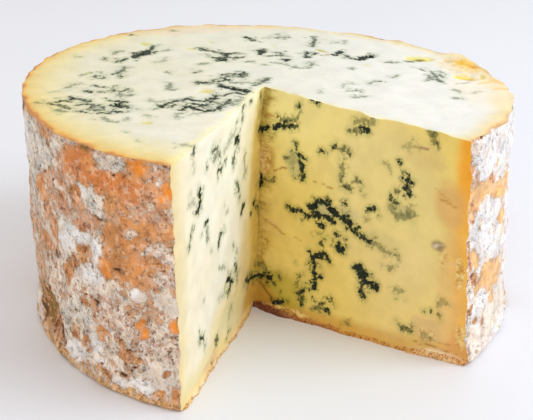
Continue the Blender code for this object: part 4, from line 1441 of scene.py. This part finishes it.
def pasteMaterial():
    material, tree, shader = newMaterial("paste", paste["roughness"])
    look = pasteLook
    tone = mark(tree, "tone", "Color")
    vein, dark, fray = (mark(tree, name) for name in ("vein", "veinDark", "fray"))
    broad, loose, lump, fine, grit = (grain(tree, *how) for how in look["grains"].values())

    # veins, with the fine threads round them
    field = vein
    for size, amount in look["veinEdges"]:
        ripple = swing(tree, grain(tree, size, *look["edgeGrain"]), amount)
        field = maths(tree, "MULTIPLY_ADD", ripple, fray, field)
    laced = maths(tree, "MULTIPLY_ADD", swing(tree, fine, look["lace"]), fray, field)
    inside = span(tree, laced, *look["veinFrom"])
    nearVein = maths(tree, "ADD", vein, swing(tree, loose, look["threadNoise"]))
    nearVein = span(tree, nearVein, *look["threadFrom"])
    thread = maths(tree, "MULTIPLY", span(tree, curdEdges(tree), *look["threadWidth"], 1.0, 0.0), nearVein)
    inside = maths(tree, "MAXIMUM", inside, maths(tree, "MULTIPLY", thread, look["threadShare"]))
    terms = zip((fine, dark, fray), look["blackBy"])
    black = summed(tree, maths(tree, "MINIMUM", field, 1.0), *terms)
    mould = mixed(tree, 1.0, tone, look["veinGreen"], "MULTIPLY")
    mould = mixed(tree, span(tree, black, *look["blackFrom"]), mould, look["veinBlack"])

    # the paste's body, its tears and where it has crumbled
    body = mixed(tree, 1.0, tone, span(tree, broad, *look["mottleFrom"]), "MULTIPLY")
    halo = maths(tree, "MULTIPLY", span(tree, vein, *look["haloFrom"]), dark)
    body = mixed(tree, halo, body, look["halo"], "MULTIPLY")
    streaks = maths(tree, "SUBTRACT", grain(tree, *look["tearGrain"]), 0.5)
    streaks = span(tree, maths(tree, "ABSOLUTE", streaks), *look["tearWidth"], 1.0, 0.0)
    tear = maths(tree, "MULTIPLY", streaks, mark(tree, "tear"))
    tearShare = maths(tree, "MULTIPLY", tear, look["tearShare"])
    body = mixed(tree, tearShare, body, look["tearShade"], "MULTIPLY")
    crumb = mixed(tree, span(tree, lump, *look["crumbPaleFrom"]), look["crumbDeep"], look["crumbPale"])
    loosened = summed(tree, mark(tree, "crumb"), (loose, look["crumbNoise"]))
    body = mixed(tree, span(tree, loosened, *look["crumbFrom"]), body, crumb)
    veinShare = maths(tree, "MULTIPLY", inside, span(tree, dark, *look["darkFrom"]))
    colour = mixed(tree, veinShare, body, mould)

    # the crust at the foot and the rim
    crust = mixed(tree, span(tree, grit, *look["crustTanFrom"]), look["crustBrown"], look["crustTan"])
    crust = mixed(tree, span(tree, lump, *look["crustPaleFrom"]), crust, look["crustPale"])
    crust = mixed(tree, look["crustTone"], crust, tone, "MULTIPLY")
    torn = maths(tree, "ADD", fine, mark(tree, "crust"))
    colour = mixed(tree, span(tree, torn, *look["crustFrom"]), colour, crust)
    tree.links.new(colour, shader.inputs["Base Color"])

    rough = maths(tree, "ADD", mark(tree, "crust"), mark(tree, "crumb"))
    rough = maths(tree, "MULTIPLY", rough, fine)
    parts = {"vein": inside, "fine": fine, "grit": grit, "tear": tear, "rough": rough}
    height = summed(tree, 0.0, *((parts[name], measure) for name, measure in look["bumps"].items()))
    addBump(tree, shader, height, look["bump"], look["bumpHeight"])
    shader.inputs["Specular IOR Level"].default_value = paste["specular"]
    shader.inputs["Subsurface Weight"].default_value = paste["glowThrough"]
    shader.inputs["Subsurface Radius"].default_value = paste["glowRadius"]
    shader.inputs["Subsurface Scale"].default_value = paste["glowScale"]
    return material


rindLook = {
    "grains": {  # noise: lump size in millimetres, detail, roughness
        "uneven": (7.0, 4.0, 0.7),
        "warm": (6.0, 4.0, 0.68),
        "pale": (4.2, 5.0, 0.76),
        "flecks": (3.2, 5.0, 0.76),
        "streaks": (2.6, 5.0, 0.8),
        "specks": (2.3, 4.0, 0.75),
        "grit": (1.3, 3.0, 0.7),
    },
    "coverGrain": ((6.0, 1.3), (3.0, 2.4), (1.2, 1.4)),  # lump size, how much it swings the mould's cover
    "coverRough": (4.0, 0.66),
    "coverFrom": (-0.22, 0.30),
    "crust": (  # noise, where it starts and is full with its least and most, colour, only where pitted
        ("pale", (0.50, 0.58, 0.0, 0.75), hue(248, 200, 162), False),
        ("warm", (0.50, 0.64, 0.0, 0.55), hue(230, 158, 84), False),
        ("flecks", (0.46, 0.40), hue(168, 98, 46), True),
    ),
    "mould": (
        ("warm", (0.48, 0.64, 0.0, 0.6), hue(246, 218, 186), False),
        ("streaks", (0.53, 0.59, 0.0, 0.8), hue(198, 172, 140), True),
    ),
    "speck": hue(112, 74, 46),
    "specksFrom": (0.60, 0.63, 0.0, 0.9),
    "pitNoise": 0.9,
    "pitFrom": (0.85, 1.2),
    "rough": (0.9, 1.3),  # of grit and of flecks
    # how far the painted shade in the rind's crevices darkens it
    "creviceShade": 0.46,
    "creviceFrom": (1.12, 0.86),
    "unevenFrom": (0.36, 0.64, 0.98, 1.40),
    "bump": 0.9,
    "bumpHeight": 0.0015,
    "mouldRise": 0.5,
    "speckDip": -0.6,
}


def rindMaterial():
    material, tree, shader = newMaterial("rind", rind["roughness"])
    look = rindLook
    pitted = mark(tree, "pitted")
    grains = {name: grain(tree, *how) for name, how in look["grains"].items()}

    def layered(colour, layers):
        for name, reach, tint, onlyPitted in layers:
            share = span(tree, grains[name], *reach)
            if onlyPitted:
                share = maths(tree, "MULTIPLY", share, pitted)
            colour = mixed(tree, share, colour, tint)
        return colour

    cover = mark(tree, "bloom")
    for size, amount in look["coverGrain"]:
        ripple = swing(tree, grain(tree, size, *look["coverRough"]), amount)
        cover = maths(tree, "ADD", cover, ripple)
    share = span(tree, cover, *look["coverFrom"])
    crust = layered(mark(tree, "tone", "Color"), look["crust"])
    mould = layered(mark(tree, "bloomTone", "Color"), look["mould"])
    specks = maths(tree, "MULTIPLY", span(tree, grains["specks"], *look["specksFrom"]), pitted)
    colour = mixed(tree, specks, mixed(tree, share, crust, mould), look["speck"])
    pits = summed(tree, mark(tree, "pit"), (grains["flecks"], look["pitNoise"]))
    colour = mixed(tree, span(tree, pits, *look["pitFrom"]), colour, look["speck"])
    gritty, flecked = look["rough"]
    rough = summed(tree, maths(tree, "MULTIPLY", grains["flecks"], flecked), (grains["grit"], gritty))
    # painted shade: the rind darkens in the crevices of its noise where it is pitted, on top of its random
    # unevenness of tone
    creviceShade = maths(tree, "MULTIPLY", span(tree, rough, *look["creviceFrom"]), pitted)
    uneven = span(tree, grains["uneven"], *look["unevenFrom"])
    unevenToneAndCreviceShade = summed(tree, uneven, (creviceShade, -look["creviceShade"]))
    colour = mixed(tree, 1.0, colour, unevenToneAndCreviceShade, "MULTIPLY")
    tree.links.new(colour, shader.inputs["Base Color"])
    height = summed(tree, rough, (share, look["mouldRise"]), (specks, look["speckDip"]))
    addBump(tree, shader, height, look["bump"], look["bumpHeight"])
    return material


cheese = buildDrum()
cheese.data.materials.append(pasteMaterial())
cheese.data.materials.append(rindMaterial())
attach(cheese, "root")
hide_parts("cheese")
print("drum built:", len(cheese.data.vertices), "vertices")

# floor, light and camera

studio = {
    "floorSize": 8.0,
    "floorColour": hue(238, 238, 240),
    "floorRoughness": 0.45,
    "floorFaint": 0.97,  # the darkest of its faint clouds
    "floorGrain": (400.0, 2.0),
    "floorFrom": (0.3, 0.7),
    "sky": hue(252, 250, 250),
    "skyStrength": 0.84,
    "lamps": {  # place in metres, size, power, colour
        "key": ((0.80, -0.40, 0.85), 0.8, 8.0, hue(222, 236, 255)),
        "fill": ((-0.62, -0.80, 0.50), 1.2, 0.9, hue(255, 240, 226)),
    },
    "lampsFace": (0, 0, 0.05),
    "cameraAt": (-0.13083, -0.45626, 0.25543),
    "cameraWay": (0.25355, 0.87301, -0.41660),
    "lens": 81.05,
    "sensor": 36.0,
    "nearest": 0.01,
}


def makeFloor():
    half = studio["floorSize"] / 2
    mesh = bpy.data.meshes.new("floor")
    corners = [(-half, -half, 0), (half, -half, 0), (half, half, 0), (-half, half, 0)]
    mesh.from_pydata(corners, [], [(0, 1, 2, 3)])
    floor = bpy.data.objects.new("floor", mesh)
    bpy.context.collection.objects.link(floor)
    material, tree, shader = newMaterial("floor", studio["floorRoughness"])
    faint = span(tree, grain(tree, *studio["floorGrain"]), *studio["floorFrom"])
    tint = mixed(tree, faint, studio["floorColour"], studio["floorColour"] * studio["floorFaint"])
    tree.links.new(tint, shader.inputs["Base Color"])
    mesh.materials.append(material)


def makeLights():
    world = bpy.data.worlds.new("studio")
    world.use_nodes = True
    sky = world.node_tree.nodes["Background"]
    sky.inputs["Color"].default_value = (*studio["sky"], 1)
    sky.inputs["Strength"].default_value = studio["skyStrength"]
    bpy.context.scene.world = world
    for name, (place, size, power, colour) in studio["lamps"].items():
        light = bpy.data.lights.new(name, "AREA")
        light.shape = "DISK"
        light.size = size
        light.energy = power
        light.color = colour
        lamp = bpy.data.objects.new(name, light)
        lamp.location = place
        way = Vector(studio["lampsFace"]) - lamp.location
        lamp.rotation_euler = way.to_track_quat("-Z", "Y").to_euler()
        bpy.context.collection.objects.link(lamp)


def makeCamera():
    camera = bpy.data.cameras.new("camera")
    camera.lens = studio["lens"]
    camera.sensor_width = studio["sensor"]
    camera.clip_start = studio["nearest"]
    viewer = bpy.data.objects.new("camera", camera)
    viewer.location = studio["cameraAt"]
    viewer.rotation_euler = Vector(studio["cameraWay"]).to_track_quat("-Z", "Y").to_euler()
    bpy.context.collection.objects.link(viewer)
    bpy.context.scene.camera = viewer


makeFloor()
makeLights()
makeCamera()
bpy.context.scene.view_settings.view_transform = "Standard"
print("studio ready")
